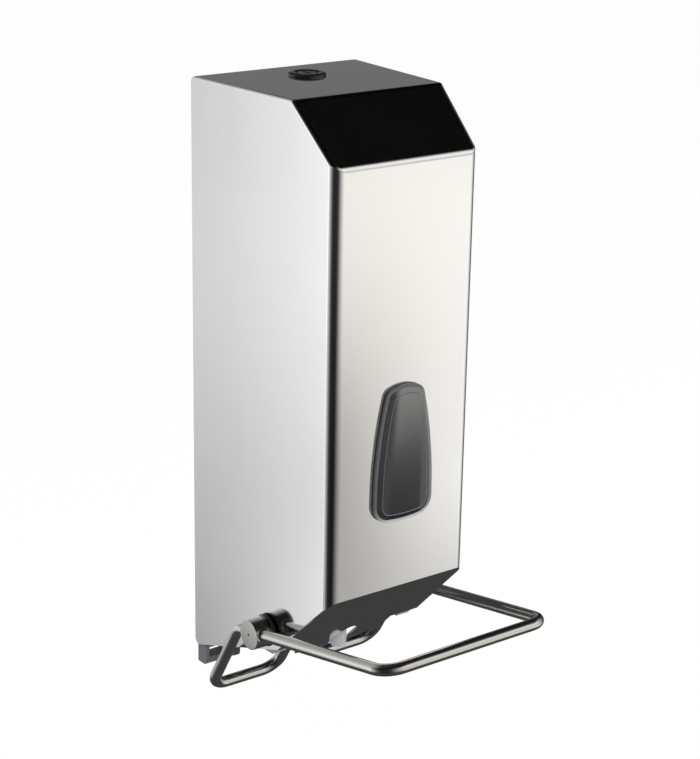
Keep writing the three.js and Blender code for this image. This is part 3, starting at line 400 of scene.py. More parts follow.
rear_half, front_half = 42.5, 36.5
tank_rear, tank_front, tank_foot, tank_top = -7, -98, -62, 116
filler_y, pump_y = -36, -38
neck_top, neck_foot = 122, -74
tank = block("bottle", (-rear_half, tank_front, tank_foot), (rear_half, tank_rear, tank_top))
open_mesh(tank)
pick(tank, "VERT", lambda spot, way: spot.y < tank_front + 1)
bpy.ops.transform.resize(
    value=(front_half / rear_half, 1, 1), center_override=(0, tank_front * MM, 0),
)
pick(tank, "EDGE", lambda spot, way: abs(way.z) > 0.9)
bpy.ops.mesh.bevel(offset=8 * MM, segments=8, affect="EDGES")
pick(tank, "EDGE", lambda spot, way: (
    abs(way.z) < 0.1 and not tank_foot + 0.1 < spot.z < tank_top - 0.1
))
bpy.ops.mesh.bevel(offset=4 * MM, segments=5, affect="EDGES")
let_go()
for low, high, radius, neck_y in ((108, neck_top, 18.5, filler_y), (neck_foot, -54, 14, pump_y)):
    neck = turned("neck", [(radius, low), (radius, high)], (0, neck_y, 0))
    modify(tank, "BOOLEAN", operation="UNION", object=neck, solver="EXACT")
    bpy.data.objects.remove(neck)
open_mesh(tank)
pick(tank, "FACE", lambda spot, way: not neck_foot + 0.1 < spot.z < neck_top - 0.1)
bpy.ops.mesh.delete(type="FACE")
let_go()
modify(tank, "SOLIDIFY", thickness=2 * MM, offset=-1, use_even_offset=True)
tank_cloud = cloudy_plastic("tank_cloud", (0.62, 0.64, 0.66), (0.54, 0.56, 0.58), 0.28, 0.92)
fit(smooth(tank), tank_cloud, "tank_plastic", "base", "reservoir")

# Filler cap and its washer. The cap is moulded with grip flutes round its skirt and a sunk top,
# and screws down on a rubber washer. The pump's washer, seal and valve are of the same rubber.


def flute(piece, count, share, centre, reach, low, high):
    """Draws evenly spaced upright lines of a skirt inwards to make its grip flutes"""
    pitch = 2 * math.pi / count

    def in_flute(spot, way):
        out = spot.xy - Vector(centre)
        turn = (math.atan2(out.y, out.x) + pitch / 4) % pitch
        return out.length > reach and low < spot.z < high and turn < pitch / 2

    open_mesh(piece)
    pick(piece, "VERT", in_flute)
    bpy.ops.transform.resize(
        value=(share, share, 1), center_override=(centre[0] * MM, centre[1] * MM, 0),
    )
    let_go()


cap_rings = [
    (18.8, 123.6), (18.8, 116.3), (21.1, 116.3), (21.1, 124.6), (20.8, 125.3), (20.2, 125.6),
    (15, 125.6), (14.4, 125.1), (6, 125.1),
]
cap = turned("fluted_cap", cap_rings, (0, filler_y, 0), sides=144)
flute(cap, 24, 0.965, (0, filler_y), 20, 116, 124.7)
fit(smooth(cap, 35), grey_moulding, "grey_plastic", "base", "reservoir_cap")

soft_rubber = moulded_plastic("soft_rubber", (0.03, 0.03, 0.032), (0.02, 0.02, 0.02), 0.7, 0.02)
for node in ("cap_seal", "pump_seal", "piston_seal", "inlet_valve"):
    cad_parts[node].material_slots[0].material = soft_rubber

# Pump. A fluted union nut holds the milky cylinder under the outlet neck. The piston rod comes
# out below, and a steel spring pushes its round button down on the lever's hoop.
pump_axis = (0, pump_y, 0)
nut_rings = [
    (14.3, -65.6), (14.3, -77.9), (11.3, -77.9), (11.3, -79.9), (19.2, -79.9), (19.8, -79.3),
    (19.8, -66.2), (19.2, -65.6), (14.3, -65.6),
]
nut = turned("union_nut", nut_rings, pump_axis, sides=144)
flute(nut, 12, 0.955, (0, pump_y), 19.5, -79.4, -66.1)
fit(smooth(nut, 35), grey_moulding, "grey_plastic", "base", "pump_nut")

milky = cloudy_plastic("milky_moulding", (0.8, 0.8, 0.84), (0.72, 0.72, 0.77), 0.3, 0.93)
cylinder = ease_edges(copy_of("pump_cylinder", "cylinder_tube"), 0.2)
fit(cylinder, milky, "milky_plastic", "base", "pump_cylinder")

rod_rings = [
    (3.6, -129.57), (4, -129.2), (4, -109), (7.7, -109), (7.7, -107.5), (6.5, -107.5),
    (6.5, -105.5), (7.7, -105.5), (7.7, -104),
]
piston = smooth(turned("plunger_rod", rod_rings, pump_axis, sides=48))
fit(piston, milky, "milky_plastic", "plunger", "piston_rod")

button_rings = [
    (4.3, -129.87), (4.3, -126.87), (11.6, -126.87), (12, -127.27), (12, -131.4), (11.6, -132.3),
    (10.8, -132.87), (9, -132.87), (8.7, -132.6), (4, -132.6),
]
button = smooth(turned("push_button", button_rings, pump_axis))
fit(button, milky, "milky_plastic", "plunger", "plunger_button")

coil_low, coil_high, coil_turns, coil_radius = -125.97, -113.24, 5, 6.5
route = bpy.data.curves.new("coil_spring", "CURVE")
route.dimensions = "3D"
route.bevel_depth = 0.6 * MM
route.bevel_resolution = 3
coil = route.splines.new("POLY")
coil_steps = 28 * coil_turns
coil.points.add(coil_steps)
for step, point in enumerate(coil.points):
    share = step / coil_steps
    turn = 2 * math.pi * coil_turns * share
    settled = share - 0.055 * math.sin(2 * math.pi * share)
    height = coil_low + (coil_high - coil_low) * settled
    across = coil_radius * math.cos(turn)
    depth = pump_y + coil_radius * math.sin(turn)
    point.co = (across * MM, depth * MM, height * MM, 1)
let_go()
take(add_object("coil_spring", route))
bpy.ops.object.convert(target="MESH")
spring = smooth(close_ends(bpy.context.object), 60)
fit(spring, zinc_plate, "plain_steel", "base", "pump_spring")
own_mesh(spring)

# Spout and nozzle. A moulded elbow leads from the cylinder to a slip-on nozzle of milky plastic
# that hangs through the notch of the tab.


def bent(name, corners, bend, radius, sides=24, steps=10):
    """Round rod or tube drawn along its straight runs and spun round each bend, as on a jig.
    Its two ends are left open."""
    points = [Vector(corner) for corner in corners]
    ahead = (points[1] - points[0]).normalized()
    let_go()
    bpy.ops.mesh.primitive_circle_add(
        vertices=sides, radius=radius * MM, location=points[0] * MM,
        rotation=ahead.to_track_quat("Z", "Y").to_euler(), fill_type="NOTHING",
    )
    piece = keep_as(name)
    open_profile()
    here = points[0]
    for before, corner, after in zip(points, points[1:], points[2:]):
        back = (before - corner).normalized()
        on = (after - corner).normalized()
        half = back.angle(on) / 2
        start = corner + back * (bend / math.tan(half))
        run = {"value": (start - here) * MM}
        bpy.ops.mesh.extrude_region_move(TRANSFORM_OT_translate=run)
        centre = corner + (back + on).normalized() * (bend / math.sin(half))
        bpy.ops.mesh.spin(
            steps=steps, angle=math.pi - 2 * half, center=centre * MM, axis=back.cross(on),
        )
        here = corner + on * (bend / math.tan(half))
    run = {"value": (points[-1] - here) * MM}
    bpy.ops.mesh.extrude_region_move(TRANSFORM_OT_translate=run)
    face_outwards()
    let_go()
    return piece


spout_y, spout_z = -60.8, -89.6
spout_run = [(0, -49.3, spout_z), (0, spout_y, spout_z), (0, spout_y, -115.6)]
elbow = bent("spout_elbow", spout_run, 7, 4.2)
modify(elbow, "SOLIDIFY", thickness=1.7 * MM, offset=-1)
fit(ease_edges(elbow, 0.2), milky, "milky_plastic", "base", "spout")

tip_rings = [
    (1.7, -139.04), (3.5, -139.04), (3.95, -138.75), (4.2, -138.3), (4.2, -116.8), (5.2, -115.9),
    (5.4, -115.5), (5.4, -108.9), (5.2, -108.6), (4.5, -108.6), (4.5, -115.9), (1.7, -115.9),
    (1.7, -139.04),
]
tip = smooth(turned("slip_nozzle", tip_rings, (0, spout_y, 0), sides=48), 35)
fit(tip, milky, "milky_plastic", "base", "nozzle")

# Cover. One mirror polished stainless sheet, 1 mm thick, folded to a tapering box that is open
# behind and below. The low slope runs on as a tab, with a round notch for the nozzle.


def mirror_sheet():
    """Mirror polished sheet, with the faint wave of a folded panel and light polishing lines"""
    material, bench, inputs = finish_named("mirror_sheet", Metallic=1.0)
    wave = bench.grain(11, detail=0)
    cloud = bench.grain(40)
    lines = bench.grain(700, detail=2, stretch=(1, 1, 0.02))
    bench.feed(inputs["Base Color"], bench.between(cloud, (0.935, 0.932, 0.93), (0.955, 0.953, 0.95)))
    bench.feed(inputs["Roughness"], 0.06 + 0.03 * cloud + 0.03 * lines)
    swell = bench.relief(wave, 0.05)
    bench.feed(inputs["Normal"], bench.relief(lines, 0.0006, swell))
    return material


def flat_outline(name, corners, place, segments=8):
    """A flat face set out corner by corner, as (u, v, radius), and then rounded"""
    let_go()
    bpy.ops.mesh.primitive_circle_add(vertices=len(corners), radius=MM, fill_type="NGON")
    piece = keep_as(name)
    for vertex, (u, v, _) in zip(piece.data.vertices, corners):
        vertex.co = Vector(place(u, v)) * MM
    count = len(corners)
    for i, (u, v, radius) in enumerate(corners):
        if not radius:
            continue
        spot = Vector((u, v))
        back = Vector(corners[i - 1][:2]) - spot
        on = Vector(corners[(i + 1) % count][:2]) - spot
        corner = Vector(place(u, v))
        open_mesh(piece)
        pick(piece, "VERT", lambda at, way: (at - corner).length < 0.01)
        bpy.ops.mesh.bevel(
            offset=radius / math.tan(back.angle(on) / 2) * MM, segments=segments,
            affect="VERTICES",
        )
    let_go()
    return piece


def draw_out(piece, travel):
    """Draws a flat outline out to a solid"""
    open_mesh(piece)
    bpy.ops.mesh.select_all(action="SELECT")
    move = {"value": [part * MM for part in travel]}
    bpy.ops.mesh.extrude_region_move(TRANSFORM_OT_translate=move)
    face_outwards()
    let_go()
    return piece


def slice_off(plane_point, plane_way):
    """Cuts off what lies beyond a plane and closes the cut"""
    bpy.ops.mesh.select_all(action="SELECT")
    bpy.ops.mesh.bisect(
        plane_co=[part * MM for part in plane_point], plane_no=Vector(plane_way).normalized(),
        use_fill=True, clear_outer=True,
    )


def mark_fold(piece, reach, test):
    """Marks the edges of one kind of fold with their reach, as a share of the widest bend's"""
    pick(piece, "EDGE", test)
    bpy.ops.transform.edge_bevelweight(value=reach / side_bend)


rear, front, top, foot = -0.5, -109, 150, -150
half_width, side_lean, sheet, tab_half = 48.5, 7 / 109, 1, 26
chamfer_rear, slope_top = -78.8, -88
lock_y, hub_y, hub_z = -28, -61.7, -118.3
root, tab_end = Vector((0, -71, -126.2)), Vector((0, -59.2, -138.0))
slope_way = Vector((0, -38.2, -38)).normalized()
under = Vector((0, -23.8, -70.5)).normalized()
side_bend, chamfer_bend, seam_bend, cross_fold = 5.2, 2.6, 1.2, 1.9
cover = block("folded_cover", (-half_width, front, 1.1 * foot), (half_width, rear, top))
open_mesh(cover)
slice_off((0, chamfer_rear, top), (0, -26.8, 30.2))
slice_off((half_width, 0, 0), (1, -side_lean, 0))
slice_off((-half_width, 0, 0), (-1, -side_lean, 0))
mark_fold(cover, cross_fold, lambda spot, way: (
    abs(way.x) > 0.9 and spot.y < chamfer_rear + 1 and spot.z > 0
))
mark_fold(cover, side_bend, lambda spot, way: abs(way.z) > 0.9 and spot.y < front + 1)
mark_fold(cover, chamfer_bend, lambda spot, way: (
    abs(way.x) < 0.2 and front + 1 < spot.y < chamfer_rear - 1 and 0 < spot.z < top - 1
))
mark_fold(cover, seam_bend, lambda spot, way: abs(way.x) < 0.2 and spot.z > top - 0.1)
let_go()
modify(cover, "BEVEL", width=side_bend * MM, segments=8, limit_method="WEIGHT")
open_mesh(cover)
slice_off((0, front, slope_top), slope_way)
slice_off(root, under)
pick(cover, "FACE", lambda spot, way: way.y > 0.99 or way.dot(under) > 0.99)
bpy.ops.mesh.delete(type="FACE")
pick(cover, "EDGE", lambda spot, way: (
    abs(way.x) < 0.1 and abs(way.z) < 0.8 and front + 5 < spot.y < root.y
    and root.z < spot.z < slope_top - 5
))
bpy.ops.mesh.bevel(offset=0.9 * MM, segments=3, affect="EDGES")
for side in (-1, 1):
    pick(cover, "FACE", lambda spot, way: way.dot(slope_way) > 0.9999)
    bpy.ops.mesh.bisect(plane_co=(side * tab_half * MM, 0, 0), plane_no=(1, 0, 0))
pick(cover, "EDGE", lambda spot, way: abs(way.x) > 0.9 and (spot - root).length < 1)
fall = {"value": (tab_end - root) * MM}
bpy.ops.mesh.extrude_region_move(TRANSFORM_OT_translate=fall)
let_go()
modify(cover, "SOLIDIFY", thickness=sheet * MM, offset=-1, use_even_offset=True)

window_corners = [
    (0, -53.2, 60), (17.6, -51.4, 9), (17.3, -27.15, 150), (14.61, -3.2, 150), (10.6, 14.0, 5),
    (0, 17.2, 18), (-10.6, 14.0, 5), (-14.61, -3.2, 150), (-17.3, -27.15, 150), (-17.6, -51.4, 9),
]


def window_shape(name, depth, inset=0):
    """The window's outline as a flat face at a depth, drawn in by an amount"""
    piece = flat_outline(name, window_corners, lambda u, v: (u, depth, v), segments=7)
    if inset:
        open_mesh(piece)
        bpy.ops.mesh.select_all(action="SELECT")
        bpy.ops.mesh.inset(thickness=inset * MM)
        bpy.ops.mesh.select_all(action="INVERT")
        bpy.ops.mesh.delete(type="FACE")
        let_go()
    return piece


cut_away(cover, draw_out(window_shape("window_cut", -112, 2.2), (0, 7, 0)))
cut_away(cover, turned("lock_cut", [(8.2, 145), (8.2, 155)], (0, lock_y, 0)))
cut_away(cover, turned("stem_cut", [(4.3, -60), (4.3, 60)], (0, hub_y, hub_z), axis="X"))
notch_corners = [(5.5, -72.7, 5.3), (5.5, -50, 0), (-5.5, -50, 0), (-5.5, -72.7, 5.3)]
notch = flat_outline("notch_cut", notch_corners, lambda u, v: (u, v, -145))
cut_away(cover, draw_out(notch, (0, 0, 35)))


def rear_corner_cutter(corner, start, end, centre):
    """What has to go from the side panels to round one rear corner"""
    outer = Vector(corner) + (Vector(corner) - Vector(centre))
    points = [(*start, 0), (*outer, 0), (*end, 0), (*centre, 0)]
    wedge = flat_outline("corner_cut", points, lambda u, v: (-55, u, v))
    draw_out(wedge, (110, 0, 0))
    core = [(3, -60), (3, 60)]
    return cut_away(wedge, turned("round_core", core, (0, *centre), axis="X"))


cut_away(cover, rear_corner_cutter((rear, top), (-3.5, 150.2), (-0.3, 147), (-3.5, 147)))
cut_away(cover, rear_corner_cutter((rear, foot), (-0.3, -145.8), (-4.5, -148.9), (-3.5, -145.8)))
ease_edges(clean_up(cover), 0.16, degrees=43)
fit(cover, mirror_sheet(), "polished_steel", "cover", "cover_shell")

# Hinge bracket. A strip of plated steel, spot welded inside the rear foot of the cover. Its two
# ears turn on the hinge pins.
bracket = ease_edges(copy_of("hinge_bracket", "ear_bracket"), 0.2)
fit(bracket, zinc_plate, "plain_steel", "cover", "hinge_bracket")

# Window. A smoked lens is moulded with a clear flange and a raised pad, sits on a rubber gasket
# and is held from inside by a plastic frame.


def along(bench, axis):
    """How far a place lies along one axis of the piece, in metres"""
    spot = bench.node("ShaderNodeTexCoord", out="Object")
    return bench.node("ShaderNodeSeparateXYZ", sockets={0: spot}, out=axis)


def climb(bench, value, low, high, top=1.0, kind="SMOOTHSTEP"):
    """Climbs from 0 to top while a value goes from low to high"""
    return bench.node("ShaderNodeMapRange", {"interpolation_type": kind}, {
        "Value": value, "From Min": low, "From Max": high, "To Max": top,
    })


def read_off(bench, share, stops):
    """Reads a level or a colour off a row of stops"""
    return bench.node("ShaderNodeValToRGB", {"stops": stops}, {"Fac": share})


def clear_rim():
    """The lens's flange: clear plastic over the dark gasket, with a painted highlight along its lower
    rim that fades to dark above
    """
    material, bench, inputs = finish_named("clear_rim", IOR=1.49)
    cloud = bench.grain(120)
    rise = climb(bench, along(bench, "Z"), -0.053, -0.043)
    # Painted highlight: lightest at the lower rim, darkening upwards
    rim_highlight_tint = read_off(bench, rise, [
        (0.0, (0.85, 0.85, 0.85)), (0.4, (0.42, 0.42, 0.42)), (1.0, (0.2, 0.203, 0.207)),
    ])
    bench.feed(inputs["Base Color"], rim_highlight_tint)
    bench.feed(inputs["Roughness"], 0.05 + 0.04 * cloud)
    bench.feed(inputs["Alpha"], 0.6 + 0.15 * cloud)
    return material


def smoked_pad():
    """The lens's pad: smoked plastic, with the tank behind it painted in: painted shade darkens it
    towards the bottom, painted shade of the frame darkens the left and painted light of the tank's
    corner makes the right paler"""
    material, bench, inputs = finish_named("smoked_pad", IOR=1.49)
    height = along(bench, "Z")
    across = along(bench, "X")
    cloud = bench.grain(55, detail=3, stretch=(1, 1, 0.4))
    # Painted shade of the tank behind the pad: darker towards the bottom, lighter towards the top
    rise = climb(bench, height + 0.006 * cloud, -0.046, 0.016, kind="LINEAR")
    painted_tank_shading = read_off(bench, rise, [
        (0.0, (0.012, 0.014, 0.018)), (0.18, (0.02, 0.022, 0.027)), (0.39, (0.045, 0.048, 0.055)),
        (0.56, (0.09, 0.092, 0.098)), (0.73, (0.17, 0.169, 0.168)), (0.82, (0.215, 0.212, 0.206)),
        (0.935, (0.26, 0.254, 0.246)), (1.0, (0.27, 0.268, 0.26)),
    ])
    # Painted shade of the frame at the left and painted light of the tank's corner at the right
    past_frame = climb(bench, across - 0.08 * height + 0.002 * cloud, -0.0075, -0.003)
    painted_frame_shade = bench.between(past_frame, (0.042, 0.044, 0.05), painted_tank_shading)
    right_edge = climb(bench, across + 0.001 * cloud, 0.0085, 0.0115, top=0.55)
    painted_pad_colour = bench.between(right_edge, painted_frame_shade, (0.135, 0.137, 0.143))
    bench.feed(inputs["Base Color"], painted_pad_colour)
    bench.feed(inputs["Roughness"], 0.06 + 0.04 * cloud)
    bench.feed(inputs["Alpha"], 0.86 + 0.06 * cloud)
    return material


lens = draw_out(window_shape("smoked_lens", -109.55), (0, -1.6, 0))
front_steps = ((0.35, 0), (1.3, 0), (0.12, 0.3), (2.2, 0.75), (0.45, 0.06))
rear_steps = ((2.5, 0), (0.01, 5.05))
open_mesh(lens)
for steps, facing in ((front_steps, -1), (rear_steps, 1)):
    pick(lens, "FACE", lambda spot, way: way.y * facing > 0.99)
    for inwards, raised in steps:
        bpy.ops.mesh.inset(thickness=inwards * MM, depth=raised * MM)
let_go()
ease_edges(lens, 0.22, segments=3, degrees=50)
fit(lens, clear_rim(), "smoked_clear", "cover", "window_lens")
lens.data.materials.append(smoked_pad())
open_mesh(lens)
clear_depths = ((-111.2, -109.4), (-112.25, -112.17))
pick(lens, "FACE", lambda spot, way: (
    not any(outer <= spot.y <= inner for outer, inner in clear_depths)
))
lens.active_material_index = 1
bpy.ops.object.material_slot_assign()
let_go()

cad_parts["window_gasket"].material_slots[0].material = soft_rubber
sash = ease_edges(copy_of("window_retainer", "window_sash"), 0.2)
fit(sash, grey_moulding, "grey_plastic", "cover", "window_retainer")

# Lock. A cam lock of glossy dark plated brass goes through the top panel. A hex nut holds it
# from below, and its core carries the hooked cam on a screw.


def dark_plating():
    """Glossy black nickel plating with slight wear"""
    material, bench, inputs = finish_named(
        "dark_plating", Metallic=0.55, Coat_Roughness=0.05, Coat_Weight=0.3,
    )
    cloud = bench.grain(160, detail=3)
    bench.feed(inputs["Base Color"], bench.between(cloud, (0.02, 0.02, 0.022), (0.05, 0.05, 0.052)))
    bench.feed(inputs["Roughness"], 0.16 + 0.12 * cloud)
    return material


plating = dark_plating()
barrel_rings = [
    (5.3, 140), (7.5, 140), (7.9, 140.4), (7.9, 150.05), (9.25, 150.05), (9.25, 150.4),
    (9.15, 150.8), (8.9, 151.1), (8.5, 151.35), (7.95, 151.52), (7.3, 151.59), (6.6, 151.59),
    (6.2, 151.5), (5.9, 151.3), (5.3, 151.1), (5.3, 140),
]
lock_axis = (0, lock_y, 0)
barrel = smooth(turned("lock_barrel", barrel_rings, lock_axis), 35)
fit(barrel, plating, "dark_metal", "cover", "lock_body")

plug_rings = [(2.8, 135.95), (3, 136.15), (3, 138.3), (5, 138.3), (5, 150.95), (4.8, 151.2)]
plug = turned("lock_plug", plug_rings, lock_axis, sides=48)
cut_away(plug, block("keyway", (-0.7, lock_y - 3.2, 148.2), (0.7, lock_y + 3.2, 156)))
cut_away(plug, turned("screw_bore", [(1.6, 132), (1.6, 139.95)], lock_axis, sides=32))
fit(ease_edges(plug, 0.12), plating, "dark_metal", "lock", "lock_core")

for node, name, body in (("lock_nut", "hex_nut", "cover"), ("lock_cam", "hooked_cam", "lock")):
    made = ease_edges(copy_of(node, name), 0.18)
    fit(made, zinc_plate, "plain_steel", body, node)

stud_rings = [
    (1, 133.75), (3.6, 133.75), (4.1, 134), (4.3, 134.5), (4.3, 135.7), (1.3, 135.7), (1.3, 139.4),
    (1.1, 139.7),
]
stud = turned("cam_bolt", stud_rings, lock_axis, sides=32)
cut_away(stud, block("slot_cut", (-5, lock_y - 0.4, 133), (5, lock_y + 0.4, 134.5)))
fit(smooth(stud), zinc_plate, "plain_steel", "lock", "cam_screw")

# Pivots. A plastic bearing block is glued inside each side panel, with a black nylon gland
# outside it. The hub's stem turns in them and carries a lock nut inside.
black_nylon = moulded_plastic("black_nylon", (0.022, 0.022, 0.024), (0.014, 0.014, 0.015), 0.42)
pale_moulding = moulded_plastic("pale_moulding", (0.5, 0.48, 0.56), (0.42, 0.4, 0.48), 0.45)
hub_centre = (0, hub_y, hub_z)
gland_rings = [(4, 45.36), (8.2, 45.36), (8.2, 46.3), (7.95, 46.56), (4, 46.56), (4, 45.36)]
for hand, axis in (("left", "-X"), ("right", "X")):
    bearing = ease_edges(copy_of(f"bearing_block_{hand}", f"bearing_{hand}"), 0.5)
    fit(bearing, pale_moulding, "grey_plastic", "cover", f"bearing_block_{hand}")
    gland = smooth(turned(f"nylon_gland_{hand}", gland_rings, hub_centre, axis))
    fit(gland, black_nylon, "black_plastic", "cover", f"pivot_gland_{hand}")
    lock_nut = ease_edges(copy_of(f"pivot_nut_{hand}", f"stem_nut_{hand}"), 0.2)
    fit(lock_nut, zinc_plate, "plain_steel", "lever", f"pivot_nut_{hand}")

# Hubs. Turned stainless bosses with a centre mark on their faces. The wire goes through a cross
# bore and is held by a grub screw from below, and a thin steel ring runs against the gland.


def satin_steel(name, light, dark, shine, lay):
    """Satin stainless steel with fine lines and a warm cast"""
    material, bench, inputs = finish_named(name, Metallic=1.0)
    cloud = bench.grain(28)
    lines = bench.grain(1500, detail=3, stretch=lay)
    bench.feed(inputs["Base Color"], bench.between(cloud, dark, light))
    bench.feed(inputs["Roughness"], shine - 0.03 + 0.05 * cloud + 0.03 * lines)
    bench.feed(inputs["Normal"], bench.relief(lines, 0.0012))
    return material


turned_steel = satin_steel(
    "turned_steel", (0.82, 0.805, 0.775), (0.74, 0.725, 0.695), 0.24, (0.15, 1, 1),
)
ring_steel = bare_metal("ring_steel", (0.45, 0.45, 0.44), (0.36, 0.36, 0.35), 0.24)
socket_steel = bare_metal("socket_steel", (0.12, 0.12, 0.12), (0.07, 0.07, 0.07), 0.35)
wire_side = 51.86
arm_way = Vector((3.3, 101.4, -19.6)).normalized()
bore_run = [(3.3, -12), (3.3, 12)]
grub_bore_run = [(2.3, -130), (2.3, hub_z)]
hub_rings = [
    (2.6, 29.2), (3, 29.6), (3, 34.7), (3.7, 34.7), (3.7, 47.96), (7.45, 47.96), (7.7, 48.2),
    (7.7, 55.7), (7.6, 55.92), (7.4, 56.06), (0.75, 56.06), (0.3, 55.6),
]
race_rings = [
    (4, 46.86), (7.75, 46.86), (7.9, 47), (7.9, 47.52), (7.75, 47.66), (4, 47.66), (4, 46.86),
]
grub_rings = [(1.7, -125.5), (2, -125.2), (2, -121.9)]
for hand, axis, side in (("left", "-X", -1), ("right", "X", 1)):
    hub = turned(f"turned_hub_{hand}", hub_rings, hub_centre, axis, sides=72)
    bore = turned("wire_bore", bore_run, (0, 0, 0), sides=48)
    take(bore)
    way = Vector((side * arm_way.x, arm_way.y, arm_way.z))
    bore.rotation_euler = way.to_track_quat("Z", "Y").to_euler()
    bore.location = (side * wire_side * MM, hub_y * MM, hub_z * MM)
    cut_away(hub, keep_as("wire_bore"))
    grub_place = (side * wire_side, hub_y, 0)
    cut_away(hub, turned("grub_bore", grub_bore_run, grub_place, sides=32))
    ease_edges(hub, 0.1, degrees=50)
    fit(hub, turned_steel, "satin_steel", "lever", f"hub_{hand}")
    race = turned(f"steel_race_{hand}", race_rings, hub_centre, axis)
    fit(smooth(race), ring_steel, "plain_steel", "lever", f"slip_ring_{hand}")
    grub = turned(f"socket_grub_{hand}", grub_rings, grub_place, sides=32)
    cut_away(grub, turned("hex_cut", [(1, -127), (1, -124)], grub_place, sides=6))
    fit(smooth(grub), socket_steel, "dark_metal", "lever", f"hub_screw_{hand}")

# Lever. One 6 mm stainless wire, satin finished and bent on a jig: a front bar, two arms through
# the hubs, rear arms, foot runs and the hoop under the pump, where its ends are butt welded. Its
# front bow and right arm are a piece of their own, because the polished panels don't show them.
wire_steel = satin_steel("wire_steel", (0.84, 0.825, 0.795), (0.76, 0.745, 0.715), 0.21, (1, 1, 1))
hoop_z, foot_y, foot_z, weld_gap = -136.2, -20.9, -164.7, 0.35
half_wire = [
    (weld_gap, pump_y, hoop_z), (11, pump_y, hoop_z), (11, foot_y, foot_z),
    (wire_side, foot_y, foot_z), (52.34, -47.0, -121.14), (48.56, -163.04, -98.7),
]
other_half = [(-x, y, z) for x, y, z in reversed(half_wire)]
wire = bent("lever_rod", half_wire + other_half, 9.5, 3, sides=32, steps=12)
open_mesh(wire)
pick(wire, "EDGE", lambda spot, way: abs(spot.x) < 0.5 and abs(way.x) < 0.1)
bpy.ops.mesh.bridge_edge_loops(number_cuts=3)
pick(wire, "VERT", lambda spot, way: abs(spot.x) < 0.3)
bpy.ops.transform.resize(value=(1, 1.05, 1.05), center_override=(0, pump_y * MM, hoop_z * MM))
face_outwards()
let_go()
bow = add_object("lever_bow", wire.data.copy())
bow_start, bow_way = (-50, front, 0), Vector((0.45, -1, 0))
for part, way in ((wire, bow_way), (bow, -bow_way)):
    open_mesh(part)
    slice_off(bow_start, way)
    let_go()
    fit(smooth(part, 60), wire_steel, "satin_steel", "lever", "lever_wire")
bow.visible_glossy = False

# Studio. A white floor well below the object keeps its soft shadow. Polished steel shows a bright
# band at the height of the object, a dark ceiling and dark cards beside the camera.


def straight_rays(bench):
    """1 for a ray that comes straight from the camera or through a clear piece, or else 0"""
    seen = bench.node("ShaderNodeLightPath", out="Is Camera Ray")
    through = bench.node("ShaderNodeLightPath", out="Is Transmission Ray")
    return bench.node("ShaderNodeMath", {"operation": "MAXIMUM"}, {0: seen, 1: through})


floor_height, floor_side = -0.46, 14
let_go()
bpy.ops.mesh.primitive_plane_add(size=floor_side, location=(0, 0, floor_height))
floor = keep_as("floor")
open_mesh(floor)
bpy.ops.mesh.select_all(action="SELECT")
bpy.ops.mesh.subdivide(number_cuts=3)
let_go()
floor.visible_glossy = False
floor_paint = bpy.data.materials.new("pale_floor")
floor_paint.use_nodes = True
bench = Bench(floor_paint.node_tree)
floor_paint.node_tree.nodes.clear()
card = bench.node("ShaderNodeBsdfDiffuse", sockets={"Color": (0.86, 0.86, 0.86, 1)})
glow = bench.node("ShaderNodeEmission", sockets={"Strength": 1.125})
glowing = straight_rays(bench) * 0.78
blend = bench.node("ShaderNodeMixShader", sockets={0: glowing, 1: card, 2: glow})
bench.node("ShaderNodeOutputMaterial", sockets={"Surface": blend})
floor.data.materials.append(floor_paint)

world = bpy.data.worlds.new("studio")
bpy.context.scene.world = world
world.use_nodes = True
world.node_tree.nodes.clear()
bench = Bench(world.node_tree)
way = bench.node("ShaderNodeTexCoord", out="Generated")
east = bench.node("ShaderNodeSeparateXYZ", sockets={0: way}, out="X")
north = bench.node("ShaderNodeSeparateXYZ", sockets={0: way}, out="Y")
up = bench.node("ShaderNodeSeparateXYZ", sockets={0: way}, out="Z")
facing = bench.node("ShaderNodeMath", {"operation": "ARCTAN2"}, {0: east, 1: 0 - north})
round_share = facing * (0.5 / math.pi) + 0.5
rise_share = up * 0.5 + 0.5


def levels_up(*stops):
    """Levels of light from straight below, at 0, to straight above, at 1"""
    return read_off(bench, rise_share, stops)


def levels_round(*stops):
    """Levels of light round the object, each at a compass angle from -180 to 180 degrees"""
    return read_off(bench, round_share, [(angle / 360 + 0.5, level) for angle, level in stops])


# The front panel and the chamfer mirror front_card, shaded at the left. The left side panel, the
# top and the low slope mirror side_card, shaded at the rear. The cards set how bright each
# direction is, and left_rear_card lights the hub and the wire from the left rear.
front_card = levels_up(
    (0.2, 0.02), (0.24, 0.2), (0.27, 0.56), (0.297, 0.72), (0.303, 0.82), (0.31, 0.9),
    (0.317, 0.965), (0.33, 0.95), (0.343, 0.94), (0.353, 0.96), (0.37, 0.99), (0.388, 1.0),
    (0.41, 0.9), (0.45, 0.58), (0.55, 0.6), (0.67, 0.92), (0.74, 0.8), (0.79, 0.35),
    (0.83, 0.03), (0.87, 0.003),
)
front_shade = levels_up(
    (0.25, 0.34), (0.293, 0.455), (0.304, 0.575), (0.317, 0.635), (0.332, 0.53),
    (0.348, 0.32), (0.366, 0.17), (0.39, 0.085), (0.45, 0.0),
)
shaded_left = levels_round((36.8, 1.0), (37.4, 0.8), (38.6, 0.37), (39.7, 0.06), (40.3, 0.0))
side_card = levels_up(
    (0.2, 0.02), (0.24, 0.3), (0.27, 0.72), (0.29, 0.775), (0.309, 0.71), (0.32, 0.72),
    (0.344, 0.815), (0.365, 0.875), (0.42, 0.88), (0.5, 0.8), (0.555, 0.42), (0.575, 0.145),
    (0.61, 0.145), (0.66, 0.08), (0.7, 0.04), (0.88, 0.003),
)
